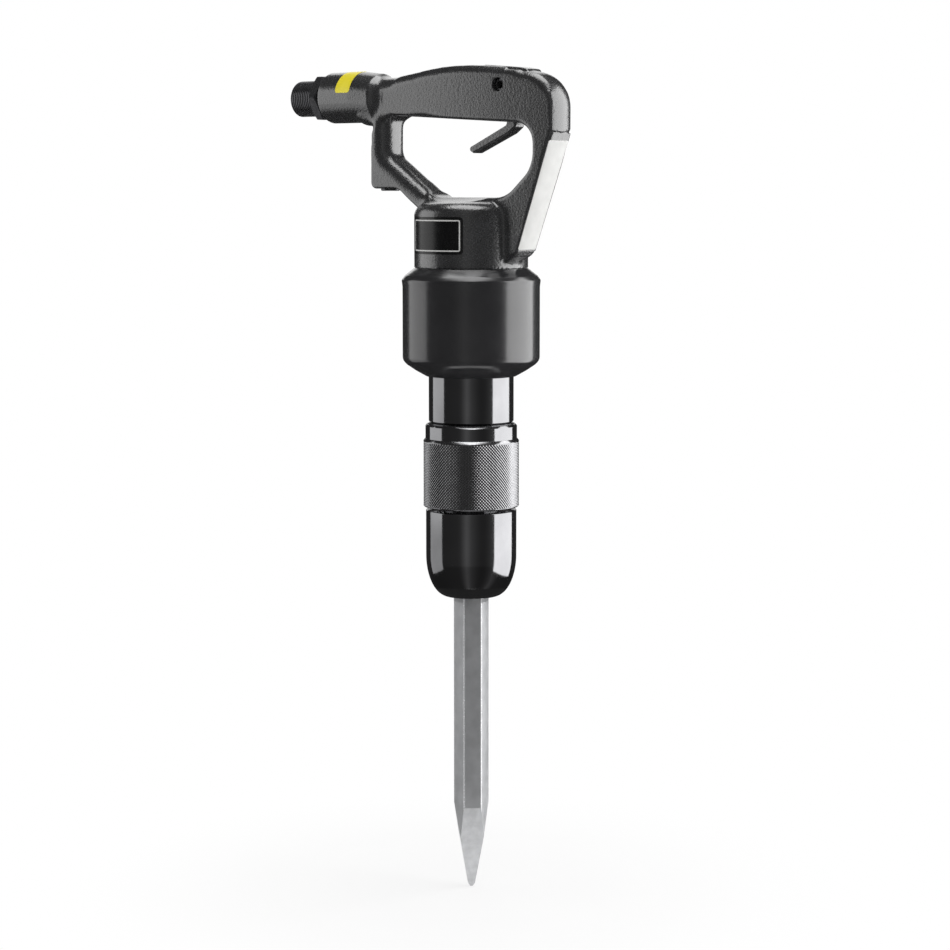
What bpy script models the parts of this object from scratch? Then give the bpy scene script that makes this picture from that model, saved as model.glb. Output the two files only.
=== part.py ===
import math

import bmesh
import bpy
import numpy as np
from mathutils import Matrix, Vector
from mathutils.geometry import tessellate_polygon

# An air hammer with a D handle, held upright with its point down.
# The hammer axis is Z. The handle lies in the XZ plane: air inlet towards -X, spine towards +X.
# The origin is on the hammer axis at the height of the grip and of the air inlet.
# Every size below is in millimetres, and the mesh helpers turn it into metres.
MM = 0.001

# Clearances
SEAT = 0.3            # between pieces that are screwed or pressed together
RUN = 0.4             # between pieces that slide on each other
CUT = 5.0             # how far a hole's shape runs past the face it opens in
ARC_STEP = 16.0       # degrees of one facet on a rounded corner
SIDES = 48            # facets round the large outer pieces
SIDES_MID = 40        # facets round the inlet's outer pieces
SIDES_SMALL = 28      # facets round the inner pieces
SIDES_BORE = 24       # facets round the smaller bores and pins
SIDES_HOLE = 12       # facets round the ports and the dowel
STAGGER = 2.7         # degrees between the facet lines of one bore and the next
SHARP = 35.0          # degrees, edges above this stay crisp

# Handle casting
FRAME_HALF = 13.0     # half thickness of the D frame
FRAME_ROUND = 6.0     # edge rounding of the D frame
ROUND_STEPS = 3
SPINE_X = 83.2        # outer face of the spine
SPINE_THICK = 18.9
LEG_X = -85.6         # outer face of the inlet leg
LEG_THICK = 14.4
GRIP_CREST_Z = 20.3
GRIP_LEFT_Z = 12.8
GRIP_UNDER_Z = -17.9  # underside of the grip on the hammer axis
GRIP_UNDER_SLOPE = -0.0585
SADDLE_Z = -72.0      # lowest line of the hand opening
BLOCK_FOOT_Z = -65.9
COLLAR_RADIUS = 40.1
COLLAR_TOP_Z = -77.0
COLLAR_LENGTH = 44.0
COLLAR_ROUND = 5.0
COLLAR_CEILING = 10.0  # metal above the barrel socket
BOSS_RADIUS = 18.4
BOSS_FACE_X = -137.0
BOSS_LENGTH = 38.0    # plain round part of the inlet boss
BOSS_TAPER = 23.0     # from the plain part to its root in the leg
BOSS_TAPER_MIDDLE = 14.0
BOSS_TAPER_DROP = 1.4
BOSS_ROOT_DROP = 1.5  # below the frame's half thickness
BOSS_CHAMFER = 2.6

# Air inlet
THREAD_RADIUS = 13.1
THREAD_LENGTH = 24.0
THREAD_LEAD = 1.5     # length of the chamfer at a thread's end
THREAD_DEPTH = 1.2
NIPPLE_BORE = 9.2
NIPPLE_HEX = 31.2     # across flats
NIPPLE_HEX_LENGTH = 7.2
NIPPLE_HEX_ROOT = 0.5  # how deep the hexagon sits in the thread's core
STUB_LENGTH = 19.0
STRAINER_WALL = 1.2
STRAINER_LENGTH = 21.0
STRAINER_PORT = 3.0
STRAINER_SET = 0.0    # back from the stub's end

# Throttle valve, on the inlet axis
CHAMBER_RADIUS = 11.0
CHAMBER_LENGTH = 14.0  # from the stub's end to the valve seat
SEAT_LENGTH = 6.0
SEAT_HOLE = 6.0
POPPET_RADIUS = 8.6
POPPET_LENGTH = 4.5
POPPET_CHAMFER = 0.5
STEM_RADIUS = 2.5
CROSS_RADIUS = 8.0
GUIDE_GAP = 9.0       # from the leg passage's middle to the stem guide
GUIDE_LENGTH = 11.0
GUIDE_RADIUS = 5.0
VALVE_WIRE = 0.7
VALVE_COIL = 7.7
VALVE_TURNS = 3.0

# Air passage down the leg
LEG_PASSAGE_IN = 7.6  # from the leg's outer face to the passage's middle
LEG_PASSAGE = 5.2
PLUG_RADIUS = 6.8
PLUG_LENGTH = 10.0
PLUG_HEAD = 1.6
PLUG_SOCKET = 3.4
PLUG_SOCKET_DEPTH = 4.6
DUCT_RADIUS = 4.0
DUCT_START_Z = -43.0
DUCT_END_X = -8.0
DUCT_END_DROP = 14.5  # below the collar's top

# Lever
PIN_X = 34.4
PIN_Z = 5.4
PIN_RADIUS = 4.2
PIN_BORE = 1.8
PIN_RECESS = 4.0
PIN_MOUTH = 0.4       # widening of the pin hole at the grip's sides
EYE_WALL = 3.6        # metal of the lever round the pin
LEVER_WIDTH = 10.4
LEVER_EDGE = 0.9
LEVER_PAD = 7.8       # from the pin to the face that pushes the valve stem
SLOT_LEFT = 14.4      # from the pin to the slot's ends
SLOT_RIGHT = 15.6
SLOT_ROOF = 1.4       # above the lever's eye
SLOT_FOOT_Z = -45.0

# Barrel and muffler, lengths downwards from the collar's foot
BARREL_RADIUS = 30.1
BARREL_BORE = 17.0
BARREL_THREAD_STEP = 1.1  # from the neck's radius in to the thread
BARREL_ENGAGE = 13.0  # thread inside the collar
FLANGE_STEP = 5.9
FLANGE_LENGTH = 5.0
BARREL_LENGTH = 109.5
BARREL_CHAMFER = 1.0
TAIL_STEP = 6.1
TAIL_LENGTH = 19.7
PORT_RADIUS = 4.5
PORT_DROP = 39.0
PORT_COUNT = 4
MUFFLER_RADIUS = 48.5
MUFFLER_WALL = 3.4
MUFFLER_PLATE = 4.0
MUFFLER_SHOULDER = 9.0
MUFFLER_WAIST = 64.0
MUFFLER_LENGTH = 76.6
MUFFLER_LIP = 1.1
MUFFLER_BEAD = 0.6    # rolled edge at the shoulder
MUFFLER_ROOM = 1.0    # between the barrel's flange and the shell's inner cone
MUFFLER_VENT = 0.7    # ring gap round the barrel where the air leaves

# Valve chest above the barrel
CHEST_ROOM = 0.6      # between the chest and the thread's radius
CHEST_LOWER_LENGTH = 6.5
CHEST_UPPER_LENGTH = 7.5
CHEST_HOLE = 7.0
CHEST_UPPER_HOLE = 6.0
DISC_RADIUS = 14.0
DISC_LENGTH = 1.4
DISC_TRAVEL = 1.5
DISC_WELL = 2.0
DOWEL_RADIUS = 1.6
DOWEL_LENGTH = 7.0
DOWEL_IN_CHEST = 3.0
SEAL_WIDTH = 5.0

# Striking parts, lengths downwards from the barrel's shoulder
PISTON_LENGTH = 48.0
PISTON_GAP = 17.5     # between the piston and the chisel
PISTON_CHAMFER = 2.0
BUSH_LENGTH = 24.0
CHISEL_FLATS = 22.0
CHISEL_TOP = 8.0
CHISEL_TURN = -43.2   # degrees, heading of one flat of the chisel
CHISEL_TAPER = 276.5
CHISEL_BEVEL = 334.8
CHISEL_TIP = 337.5
CHISEL_BEVEL_HALF = 2.5
CHISEL_TIP_HALF = 1.0
CHISEL_CHAMFER = 1.5
GROOVE_DEPTH = 0.8    # below the chisel's flats
GROOVE_TOP = 46.0
GROOVE_LENGTH = 18.0

# Retainer, lengths downwards from the barrel's shoulder
RETAINER_FLOOR = 7.0
RETAINER_WALL = 6.5
RETAINER_FOOT = 93.0
CHISEL_ROOM = 0.6     # round the chisel's corners in the retainer
SLEEVE_TOP = 1.1
SLEEVE_RING = 11.6
SLEEVE_FOOT = 60.0
SLEEVE_WALL = 2.0
SLEEVE_LEDGE = 47.0
SLEEVE_CHAMFER = 0.8
KNURL_STEP = 1.5      # knurl above the plain ring
KNURL_CHAMFER = 0.7
BALL_RADIUS = 5.0
BALL_DROP = 50.0
BALL_LIFT = 0.5       # between a ball and the groove's floor
BALL_COUNT = 3
CAM_ROOM = 0.55       # between a ball and the sleeve's cone
CAM_SLOPE = 0.3125    # outward travel of a ball for the sleeve's travel
SLEEVE_WIRE = 1.4
SLEEVE_TURNS = 3.0
NOSE_STEP = 0.3       # nose below the plain ring's radius
NOSE_TOP = 62.4
NOSE_DOME = 95.0
NOSE_SOCKET = 101.5
NOSE_FOOT = 124.5
NOSE_ROOM = 1.3       # round the chisel's corners in the nose
NOSE_RIM = 3.0
DOME_STEPS = 7

# Sizes that follow
SPINE_INNER_X = SPINE_X - SPINE_THICK
LEG_INNER_X = LEG_X + LEG_THICK
LEG_PASSAGE_X = LEG_X + LEG_PASSAGE_IN
COLLAR_FOOT_Z = COLLAR_TOP_Z - COLLAR_LENGTH
BOSS_SHOULDER_X = BOSS_FACE_X + BOSS_LENGTH
BOSS_ROOT_X = BOSS_SHOULDER_X + BOSS_TAPER
EYE_RADIUS = PIN_RADIUS + RUN + EYE_WALL
BARREL_THREAD_RADIUS = BARREL_RADIUS - BARREL_THREAD_STEP
BARREL_TOP_Z = COLLAR_FOOT_Z + BARREL_ENGAGE
BARREL_SHOULDER_Z = COLLAR_FOOT_Z - BARREL_LENGTH
FLANGE_RADIUS = BARREL_RADIUS + FLANGE_STEP
TAIL_RADIUS = BARREL_RADIUS - TAIL_STEP
MUFFLER_SHOULDER_Z = COLLAR_FOOT_Z - MUFFLER_SHOULDER
MUFFLER_WAIST_Z = COLLAR_FOOT_Z - MUFFLER_WAIST
MUFFLER_LIP_Z = COLLAR_FOOT_Z - MUFFLER_LENGTH
CHEST_RADIUS = BARREL_THREAD_RADIUS - CHEST_ROOM
DOWEL_AT = (BARREL_BORE + BARREL_THREAD_RADIUS) / 2
CHISEL_CORNER = CHISEL_FLATS / math.sqrt(3)
CHISEL_TOP_Z = BARREL_SHOULDER_Z - CHISEL_TOP
CHISEL_TAPER_Z = BARREL_SHOULDER_Z - CHISEL_TAPER
CHISEL_BEVEL_Z = BARREL_SHOULDER_Z - CHISEL_BEVEL
CHISEL_TIP_Z = BARREL_SHOULDER_Z - CHISEL_TIP
GROOVE_RADIUS = CHISEL_FLATS / 2 - GROOVE_DEPTH
GROOVE_TOP_Z = BARREL_SHOULDER_Z - GROOVE_TOP
PISTON_FOOT_Z = CHISEL_TOP_Z + PISTON_GAP
RETAINER_BORE = CHISEL_CORNER + CHISEL_ROOM
RETAINER_NECK = RETAINER_BORE + RETAINER_WALL
RETAINER_FOOT_Z = BARREL_SHOULDER_Z - RETAINER_FOOT
SLEEVE_BORE = BARREL_RADIUS + RUN
SLEEVE_RING_RADIUS = SLEEVE_BORE + SLEEVE_WALL
SLEEVE_KNURL_RADIUS = SLEEVE_RING_RADIUS + KNURL_STEP
SLEEVE_TOP_Z = BARREL_SHOULDER_Z - SLEEVE_TOP
SLEEVE_KNURL_Z = BARREL_SHOULDER_Z - SLEEVE_RING
SLEEVE_FOOT_Z = BARREL_SHOULDER_Z - SLEEVE_FOOT
SLEEVE_LEDGE_Z = BARREL_SHOULDER_Z - SLEEVE_LEDGE
BALL_INNER = GROOVE_RADIUS + BALL_LIFT
BALL_Z = BARREL_SHOULDER_Z - BALL_DROP
NOSE_RADIUS = SLEEVE_RING_RADIUS - NOSE_STEP
NOSE_MOUTH = CHISEL_CORNER + NOSE_ROOM
NOSE_TIP = NOSE_MOUTH + NOSE_RIM
NOSE_TOP_Z = BARREL_SHOULDER_Z - NOSE_TOP
NOSE_DOME_Z = BARREL_SHOULDER_Z - NOSE_DOME
NOSE_SOCKET_Z = BARREL_SHOULDER_Z - NOSE_SOCKET
NOSE_FOOT_Z = BARREL_SHOULDER_Z - NOSE_FOOT

for leftover in list(bpy.data.objects):
    bpy.data.objects.remove(leftover, do_unlink=True)


def finish(name, rgb, metallic, roughness):
    material = bpy.data.materials.new(name + "_finish")
    material.use_nodes = True
    shader = material.node_tree.nodes["Principled BSDF"]
    shader.inputs["Base Color"].default_value = (*rgb, 1.0)
    shader.inputs["Metallic"].default_value = metallic
    shader.inputs["Roughness"].default_value = roughness
    return material


BLACK = ((0.02, 0.02, 0.022), 0.0, 0.45)
GLOSS = ((0.015, 0.015, 0.017), 0.0, 0.2)
STEEL = ((0.35, 0.35, 0.36), 1.0, 0.35)
DARK_STEEL = ((0.12, 0.12, 0.13), 1.0, 0.4)
BRASS = ((0.6, 0.45, 0.2), 1.0, 0.3)
RUBBER = ((0.02, 0.02, 0.02), 0.0, 0.7)


# One closed object from a bmesh in millimetres, its origin at the given point
def node(name, work, look, origin=(0.0, 0.0, 0.0), smooth=SHARP):
    bmesh.ops.recalc_face_normals(work, faces=work.faces)
    bmesh.ops.translate(work, verts=work.verts, vec=-Vector(origin))
    bmesh.ops.scale(work, verts=work.verts, vec=(MM, MM, MM))
    mesh = bpy.data.meshes.new(name)
    work.to_mesh(mesh)
    work.free()
    mesh.shade_smooth()
    mesh.set_sharp_from_angle(angle=math.radians(smooth))
    obj = bpy.data.objects.new(name, mesh)
    obj.location = Vector(origin) * MM
    bpy.context.collection.objects.link(obj)
    if look:
        mesh.materials.append(finish(name, *look))
    return obj


AXIS_Z = Matrix.Identity(4)
AXIS_X = Matrix(((0, 0, 1, 0), (1, 0, 0, 0), (0, 1, 0, 0), (0, 0, 0, 1)))
AXIS_Y = Matrix(((0, 1, 0, 0), (0, 0, 1, 0), (1, 0, 0, 0), (0, 0, 0, 1)))


# A ring or a solid of revolution: a closed (radius, height) profile turned about the axis
def lathe(profile, sides=SIDES, place=AXIS_Z, turn=0.0):
    work = bmesh.new()
    rings = []
    for radius, height in profile:
        count = sides if radius > 0 else 1
        ring = []
        for i in range(count):
            angle = math.radians(turn) + math.tau * i / sides
            ring.append(work.verts.new((radius * math.cos(angle), radius * math.sin(angle), height)))
        rings.append(ring)
    for one, two in zip(rings, rings[1:] + rings[:1]):
        if len(one) == 1 and len(two) == 1:
            continue
        for i in range(sides):
            j = (i + 1) % sides
            if len(one) == 1:
                work.faces.new((one[0], two[i], two[j]))
            elif len(two) == 1:
                work.faces.new((one[i], one[j], two[0]))
            else:
                work.faces.new((one[i], one[j], two[j], two[i]))
    bmesh.ops.transform(work, matrix=place, verts=work.verts)
    return work


def tube(inner, outer, low, high, sides=SIDES_SMALL, place=AXIS_Z):
    return lathe(((inner, low), (outer, low), (outer, high), (inner, high)), sides, place)


def rod(radius, low, high, sides=SIDES_SMALL, place=AXIS_Z, turn=0.0):
    return lathe(((0, low), (radius, low), (radius, high), (0, high)), sides, place, turn)


def box(low, high):
    work = bmesh.new()
    bmesh.ops.create_cube(work, size=1.0)
    middle = [(a + b) / 2 for a, b in zip(low, high)]
    bmesh.ops.scale(work, verts=work.verts, vec=[b - a for a, b in zip(low, high)])
    bmesh.ops.translate(work, verts=work.verts, vec=middle)
    return work


def shift(work, x, y=0.0, z=0.0):
    bmesh.ops.translate(work, verts=work.verts, vec=(x, y, z))


# A closed outline from (x, z, radius) corners, each corner an arc
def rounded(corners):
    line = []
    for i, (x, z, radius) in enumerate(corners):
        here = np.array((x, z))
        back = np.array(corners[i - 1][:2]) - here
        ahead = np.array(corners[(i + 1) % len(corners)][:2]) - here
        back = back / np.linalg.norm(back)
        ahead = ahead / np.linalg.norm(ahead)
        inside = math.acos(np.clip(back @ ahead, -1.0, 1.0))
        reach = radius / math.tan(inside / 2)
        middle = here + (back + ahead) / np.linalg.norm(back + ahead) * radius / math.sin(inside / 2)
        start = here + back * reach - middle
        sweep = math.pi - inside
        steps = max(2, math.ceil(math.degrees(sweep) / ARC_STEP))
        side = math.copysign(1.0, ahead[0] * back[1] - ahead[1] * back[0])
        for k in range(steps + 1):
            a = side * sweep * k / steps
            line.append(middle + (start[0] * math.cos(a) - start[1] * math.sin(a),
                                  start[0] * math.sin(a) + start[1] * math.cos(a)))
    return np.array(line)


# The outline moved to its left by a depth, corner by corner
def inset(line, depth):
    step = np.roll(line, -1, axis=0) - line
    step = step / np.linalg.norm(step, axis=1)[:, None]
    left = np.stack((-step[:, 1], step[:, 0]), axis=1)
    before = np.roll(left, 1, axis=0)
    mitre = left + before
    mitre = mitre / np.sum(mitre * left, axis=1)[:, None]
    return line + mitre * depth


def anticlockwise(line):
    ahead = np.roll(line, -1, axis=0)
    area = np.sum(line[:, 0] * ahead[:, 1] - ahead[:, 0] * line[:, 1])
    return line if area > 0 else line[::-1]


# A flat shape in the XZ plane with rounded edges, its thickness along Y
def plate(outer, holes, half, edge, steps):
    loops = [anticlockwise(outer)] + [anticlockwise(hole)[::-1] for hole in holes]
    levels = []
    for k in range(steps + 1):
        a = math.pi / 2 * k / steps
        levels.append((edge * (1 - math.sin(a)), half - edge + edge * math.cos(a)))
    levels += [(depth, -y) for depth, y in reversed(levels)]
    work = bmesh.new()
    caps = [[], []]
    for loop in loops:
        rings = []
        for depth, y in levels:
            rings.append([work.verts.new((x, y, z)) for x, z in inset(loop, depth)])
        for one, two in zip(rings, rings[1:]):
            for i in range(len(loop)):
                j = (i + 1) % len(loop)
                work.faces.new((one[i], one[j], two[j], two[i]))
        caps[0].append(rings[0])
        caps[1].append(rings[-1])
    for rings in caps:
        flat = [v for ring in rings for v in ring]
        fill = tessellate_polygon([[Vector((v.co.x, v.co.z, 0.0)) for v in ring] for ring in rings])
        for a, b, c in fill:
            work.faces.new((flat[a], flat[b], flat[c]))
    return work


# A wound wire from low to high: one closed tube that follows a helix
def helix(turns, coil, wire, low, high, place):
    per_turn = 10
    around = 6
    count = int(turns * per_turn)
    work = bmesh.new()
    rings = []
    points = []
    for i in range(count + 1):
        a = math.tau * i / per_turn
        h = low + wire + (high - low - 2 * wire) * i / count
        points.append(Vector((coil * math.cos(a), coil * math.sin(a), h)))
        rise = (high - low - 2 * wire) / count * per_turn / math.tau
        ahead = Vector((-coil * math.sin(a), coil * math.cos(a), rise)).normalized()
        out = Vector((math.cos(a), math.sin(a), 0.0))
        up = ahead.cross(out)
        ring = []
        for k in range(around):
            b = math.tau * k / around
            ring.append(work.verts.new(points[-1] + wire * (out * math.cos(b) + up * math.sin(b))))
        rings.append(ring)
    for one, two in zip(rings, rings[1:]):
        for k in range(around):
            j = (k + 1) % around
            work.faces.new((one[k], one[j], two[j], two[k]))
    work.faces.new(rings[0][::-1])
    work.faces.new(rings[-1])
    bmesh.ops.transform(work, matrix=place, verts=work.verts)
    least = min((p - q).length for i, p in enumerate(points) for q in points[i + per_turn // 2:])
    print("least gap between curls, mm:", round(least - 2 * wire, 3))
    return work


# Joins or cuts a body with shapes given as bmeshes, and keeps the result as its mesh
def combine(body, operation, *shapes):
    for shape in shapes:
        tool = node("shape", shape, None)
        step = body.modifiers.new(operation, "BOOLEAN")
        step.operation = operation
        step.solver = "EXACT"
        step.object = tool
        graph = bpy.context.evaluated_depsgraph_get()
        made = bpy.data.meshes.new_from_object(body.evaluated_get(graph))
        body.modifiers.remove(step)
        old = body.data
        name = old.name
        body.data = made
        bpy.data.meshes.remove(old)
        made.name = name
        bpy.data.objects.remove(tool, do_unlink=True)
    body.data.shade_smooth()
    body.data.set_sharp_from_angle(angle=math.radians(SHARP))
    return body


def underside(x):
    return GRIP_UNDER_Z + GRIP_UNDER_SLOPE * x


# Handle: one casting of D frame, inlet boss and barrel collar
OUTLINE = (
    (LEG_X - 2.4, GRIP_LEFT_Z, 8.0),
    (LEG_X + 23.6, GRIP_LEFT_Z + 0.4, 40.0),
    (-6.0, GRIP_CREST_Z + 0.5, 220.0),
    (SPINE_X - 31.2, GRIP_CREST_Z - 4.3, 60.0),
    (SPINE_X, GRIP_CREST_Z - 11.8, 26.0),
    (SPINE_X, -31.5, 18.0),
    (SPINE_X - 30.4, COLLAR_FOOT_Z + 13.5, 8.0),
    (SPINE_X - 41.0, COLLAR_FOOT_Z + 6.5, 8.0),
    (20.0, COLLAR_FOOT_Z + 6.5, 8.0),
    (-20.0, COLLAR_FOOT_Z + 25.0, 8.0),
    (-40.0, COLLAR_TOP_Z - 3.6, 8.0),
    (LEG_X + 26.6, BLOCK_FOOT_Z, 14.0),
    (LEG_X, BLOCK_FOOT_Z, 6.2),
    (LEG_X, -21.6, 6.0),
    (LEG_X - 22.4, -19.2, 7.0),
)
OPENING = (
    (LEG_INNER_X, underside(LEG_INNER_X), 7.0),
    (SPINE_INNER_X, underside(SPINE_INNER_X), 15.0),
    (SPINE_INNER_X, SADDLE_Z + 21.4, 22.0),
    (SPINE_INNER_X - 24.0, SADDLE_Z, 26.0),
    (LEG_INNER_X + 45.2, SADDLE_Z, 16.0),
    (LEG_INNER_X, SADDLE_Z + 30.4, 9.0),
)
frame = plate(rounded(OUTLINE), [rounded(OPENING)], FRAME_HALF, FRAME_ROUND, ROUND_STEPS)
handle = node("handle", frame, BLACK)
boss = lathe((
    (0, BOSS_FACE_X),
    (BOSS_RADIUS - BOSS_CHAMFER, BOSS_FACE_X),
    (BOSS_RADIUS, BOSS_FACE_X + BOSS_CHAMFER),
    (BOSS_RADIUS, BOSS_SHOULDER_X),
    (BOSS_RADIUS - BOSS_TAPER_DROP, BOSS_SHOULDER_X + BOSS_TAPER_MIDDLE),
    (FRAME_HALF - BOSS_ROOT_DROP, BOSS_ROOT_X),
    (0, BOSS_ROOT_X),
), SIDES_MID, AXIS_X)
collar_arc = []
for k in range(ROUND_STEPS + 1):
    a = math.pi / 2 * k / ROUND_STEPS
    collar_arc.append((COLLAR_RADIUS - COLLAR_ROUND + COLLAR_ROUND * math.cos(a),
                       COLLAR_TOP_Z - COLLAR_ROUND + COLLAR_ROUND * math.sin(a)))
collar = lathe([(0, COLLAR_FOOT_Z), (COLLAR_RADIUS, COLLAR_FOOT_Z)] + collar_arc + [(0, COLLAR_TOP_Z)])
combine(handle, "UNION", boss, collar)

socket_top = COLLAR_TOP_Z - COLLAR_CEILING
stub_end = BOSS_FACE_X + STUB_LENGTH
seat_face = stub_end + CHAMBER_LENGTH
seat_end = seat_face + SEAT_LENGTH + SEAT
guide_start = LEG_PASSAGE_X + GUIDE_GAP
guide_end = guide_start + GUIDE_LENGTH
slot_left = PIN_X - SLOT_LEFT
slot_half = LEVER_WIDTH / 2 + RUN
slot_roof = PIN_Z + EYE_RADIUS + SLOT_ROOF
inlet_bore = lathe((
    (0, BOSS_FACE_X - CUT),
    (THREAD_RADIUS + SEAT, BOSS_FACE_X - CUT),
    (THREAD_RADIUS + SEAT, stub_end + SEAT),
    (CHAMBER_RADIUS, stub_end + SEAT),
    (CHAMBER_RADIUS, seat_end),
    (CROSS_RADIUS, seat_end),
    (CROSS_RADIUS, guide_start),
    (GUIDE_RADIUS, guide_start),
    (GUIDE_RADIUS, guide_end + SEAT),
    (STEM_RADIUS + RUN, guide_end + SEAT),
    (STEM_RADIUS + RUN, slot_left + CUT),
    (0, slot_left + CUT),
), SIDES_BORE, AXIS_X, STAGGER)
plug_hole = rod(PLUG_RADIUS + SEAT, BLOCK_FOOT_Z - CUT, BLOCK_FOOT_Z + PLUG_LENGTH + SEAT,
                SIDES_BORE, AXIS_Z, STAGGER)
shift(plug_hole, LEG_PASSAGE_X)
leg_hole = rod(LEG_PASSAGE, BLOCK_FOOT_Z + PLUG_LENGTH / 2, 0, 20, AXIS_Z, 2 * STAGGER)
shift(leg_hole, LEG_PASSAGE_X)
duct_run = Vector((DUCT_END_X - LEG_PASSAGE_X, 0, COLLAR_TOP_Z - DUCT_END_DROP - DUCT_START_Z))
duct = rod(DUCT_RADIUS, 0, duct_run.length, 20, AXIS_Z, 3 * STAGGER)
bmesh.ops.transform(duct, matrix=duct_run.to_track_quat("Z", "Y").to_matrix().to_4x4(), verts=duct.verts)
shift(duct, LEG_PASSAGE_X, 0, DUCT_START_Z)
socket = rod(BARREL_THREAD_RADIUS + SEAT, COLLAR_FOOT_Z - CUT, socket_top, SIDES, AXIS_Z, STAGGER)
slot = box((slot_left, -slot_half, SLOT_FOOT_Z), (PIN_X + SLOT_RIGHT, slot_half, slot_roof))
pin_hole = lathe((
    (0, -FRAME_HALF - PIN_MOUTH),
    (PIN_RADIUS + SEAT + 2 * PIN_MOUTH, -FRAME_HALF - PIN_MOUTH),
    (PIN_RADIUS + SEAT, -FRAME_HALF + PIN_MOUTH),
    (PIN_RADIUS + SEAT, FRAME_HALF - PIN_MOUTH),
    (PIN_RADIUS + SEAT + 2 * PIN_MOUTH, FRAME_HALF + PIN_MOUTH),
    (0, FRAME_HALF + PIN_MOUTH),
), SIDES_BORE, AXIS_Y, STAGGER)
shift(pin_hole, PIN_X, 0, PIN_Z)
combine(handle, "DIFFERENCE", inlet_bore, plug_hole, leg_hole, duct, socket, slot, pin_hole)

# Inlet nipple: hexagon, threaded end and threaded stub round one bore
hex_end = BOSS_FACE_X - SEAT
hex_start = hex_end - NIPPLE_HEX_LENGTH
thread_end = hex_start - THREAD_LENGTH
nipple = node("inlet_nipple", lathe((
    (NIPPLE_BORE, thread_end),
    (THREAD_RADIUS - THREAD_DEPTH, thread_end),
    (THREAD_RADIUS, thread_end + THREAD_LEAD),
    (THREAD_RADIUS, stub_end - THREAD_LEAD),
    (THREAD_RADIUS - THREAD_DEPTH, stub_end),
    (NIPPLE_BORE, stub_end),
), SIDES_MID, AXIS_X), DARK_STEEL)
hex_radius = NIPPLE_HEX / math.sqrt(3)
hexagon = tube(THREAD_RADIUS - NIPPLE_HEX_ROOT, hex_radius, hex_start, hex_end, 6, AXIS_X)
combine(nipple, "UNION", hexagon)

strainer_end = stub_end - STRAINER_SET
strainer_start = strainer_end - STRAINER_LENGTH
strainer_radius = NIPPLE_BORE - SEAT
node("inlet_strainer", lathe((
    (strainer_radius, strainer_end),
    (strainer_radius, strainer_start),
    (STRAINER_PORT, strainer_start),
    (STRAINER_PORT, strainer_start + STRAINER_WALL),
    (strainer_radius - STRAINER_WALL, strainer_start + STRAINER_WALL),
    (strainer_radius - STRAINER_WALL, strainer_end),
), SIDES_SMALL, AXIS_X), BRASS)

# Throttle valve on the inlet axis, pushed open by the lever through its stem
node("valve_seat", tube(SEAT_HOLE, CHAMBER_RADIUS - SEAT, seat_face, seat_face + SEAT_LENGTH,
                        SIDES_SMALL, AXIS_X), BRASS)
poppet_face = seat_face - SEAT
poppet_back = poppet_face - POPPET_LENGTH
stem_end = PIN_X - LEVER_PAD - SEAT
node("throttle_valve", lathe((
    (0, poppet_back),
    (POPPET_RADIUS - POPPET_CHAMFER, poppet_back),
    (POPPET_RADIUS, poppet_back + POPPET_CHAMFER),
    (POPPET_RADIUS, poppet_face),
    (STEM_RADIUS, poppet_face),
    (STEM_RADIUS, stem_end - STEM_RADIUS),
    (STEM_RADIUS * 0.8, stem_end - STEM_RADIUS * 0.4),
    (STEM_RADIUS * 0.4, stem_end - STEM_RADIUS * 0.08),
    (0, stem_end),
), SIDES_BORE, AXIS_X), STEEL)
node("stem_guide", tube(STEM_RADIUS + RUN, GUIDE_RADIUS - SEAT, guide_start, guide_end,
                        SIDES_BORE, AXIS_X), BRASS)
valve_wire = helix(VALVE_TURNS, VALVE_COIL, VALVE_WIRE, stub_end + SEAT, poppet_back - SEAT, AXIS_X)
node("valve_spring", valve_wire, STEEL)

# Screw plug that closes the drilled air passage under the leg
plug_foot = BLOCK_FOOT_Z - PLUG_HEAD
plug = node("passage_plug", rod(PLUG_RADIUS, plug_foot, BLOCK_FOOT_Z + PLUG_LENGTH, SIDES_BORE), DARK_STEEL)
combine(plug, "DIFFERENCE", rod(PLUG_SOCKET, plug_foot - CUT, plug_foot + PLUG_SOCKET_DEPTH, 6))
plug.data.transform(Matrix.Translation((LEG_PASSAGE_X * MM, 0, 0)))

# Throttle lever: an eye on the pin, a pad that meets the stem, and a bent strap under the grip
LEVER = (
    (-EYE_RADIUS, EYE_RADIUS, 6.0),
    (EYE_RADIUS, EYE_RADIUS, 7.5),
    (10.6, -13.4, 10.0),
    (10.6, -28.9, 3.0),
    (4.2, -33.4, 6.0),
    (-28.2, -46.8, 1.4),
    (-33.9, -43.6, 1.8),
    (-29.4, -41.6, 1.4),
    (2.6, -27.4, 3.0),
    (1.6, -16.4, 6.0),
    (-LEVER_PAD, -11.9, 2.0),
    (-LEVER_PAD, -1.4, 3.0),
)
strap = plate(rounded(LEVER), [], LEVER_WIDTH / 2, LEVER_EDGE, 1)
shift(strap, PIN_X, 0, PIN_Z)
lever = node("throttle_lever", strap, BLACK, (PIN_X, 0, PIN_Z))
eye = rod(PIN_RADIUS + RUN, -LEVER_WIDTH, LEVER_WIDTH, SIDES_BORE, AXIS_Y)
shift(eye, PIN_X, 0, PIN_Z)
combine(lever, "DIFFERENCE", eye)
pin_half = FRAME_HALF - PIN_RECESS
pin = tube(PIN_BORE, PIN_RADIUS, -pin_half, pin_half, SIDES_BORE, AXIS_Y)
shift(pin, PIN_X, 0, PIN_Z)
node("lever_pin", pin, STEEL)

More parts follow.
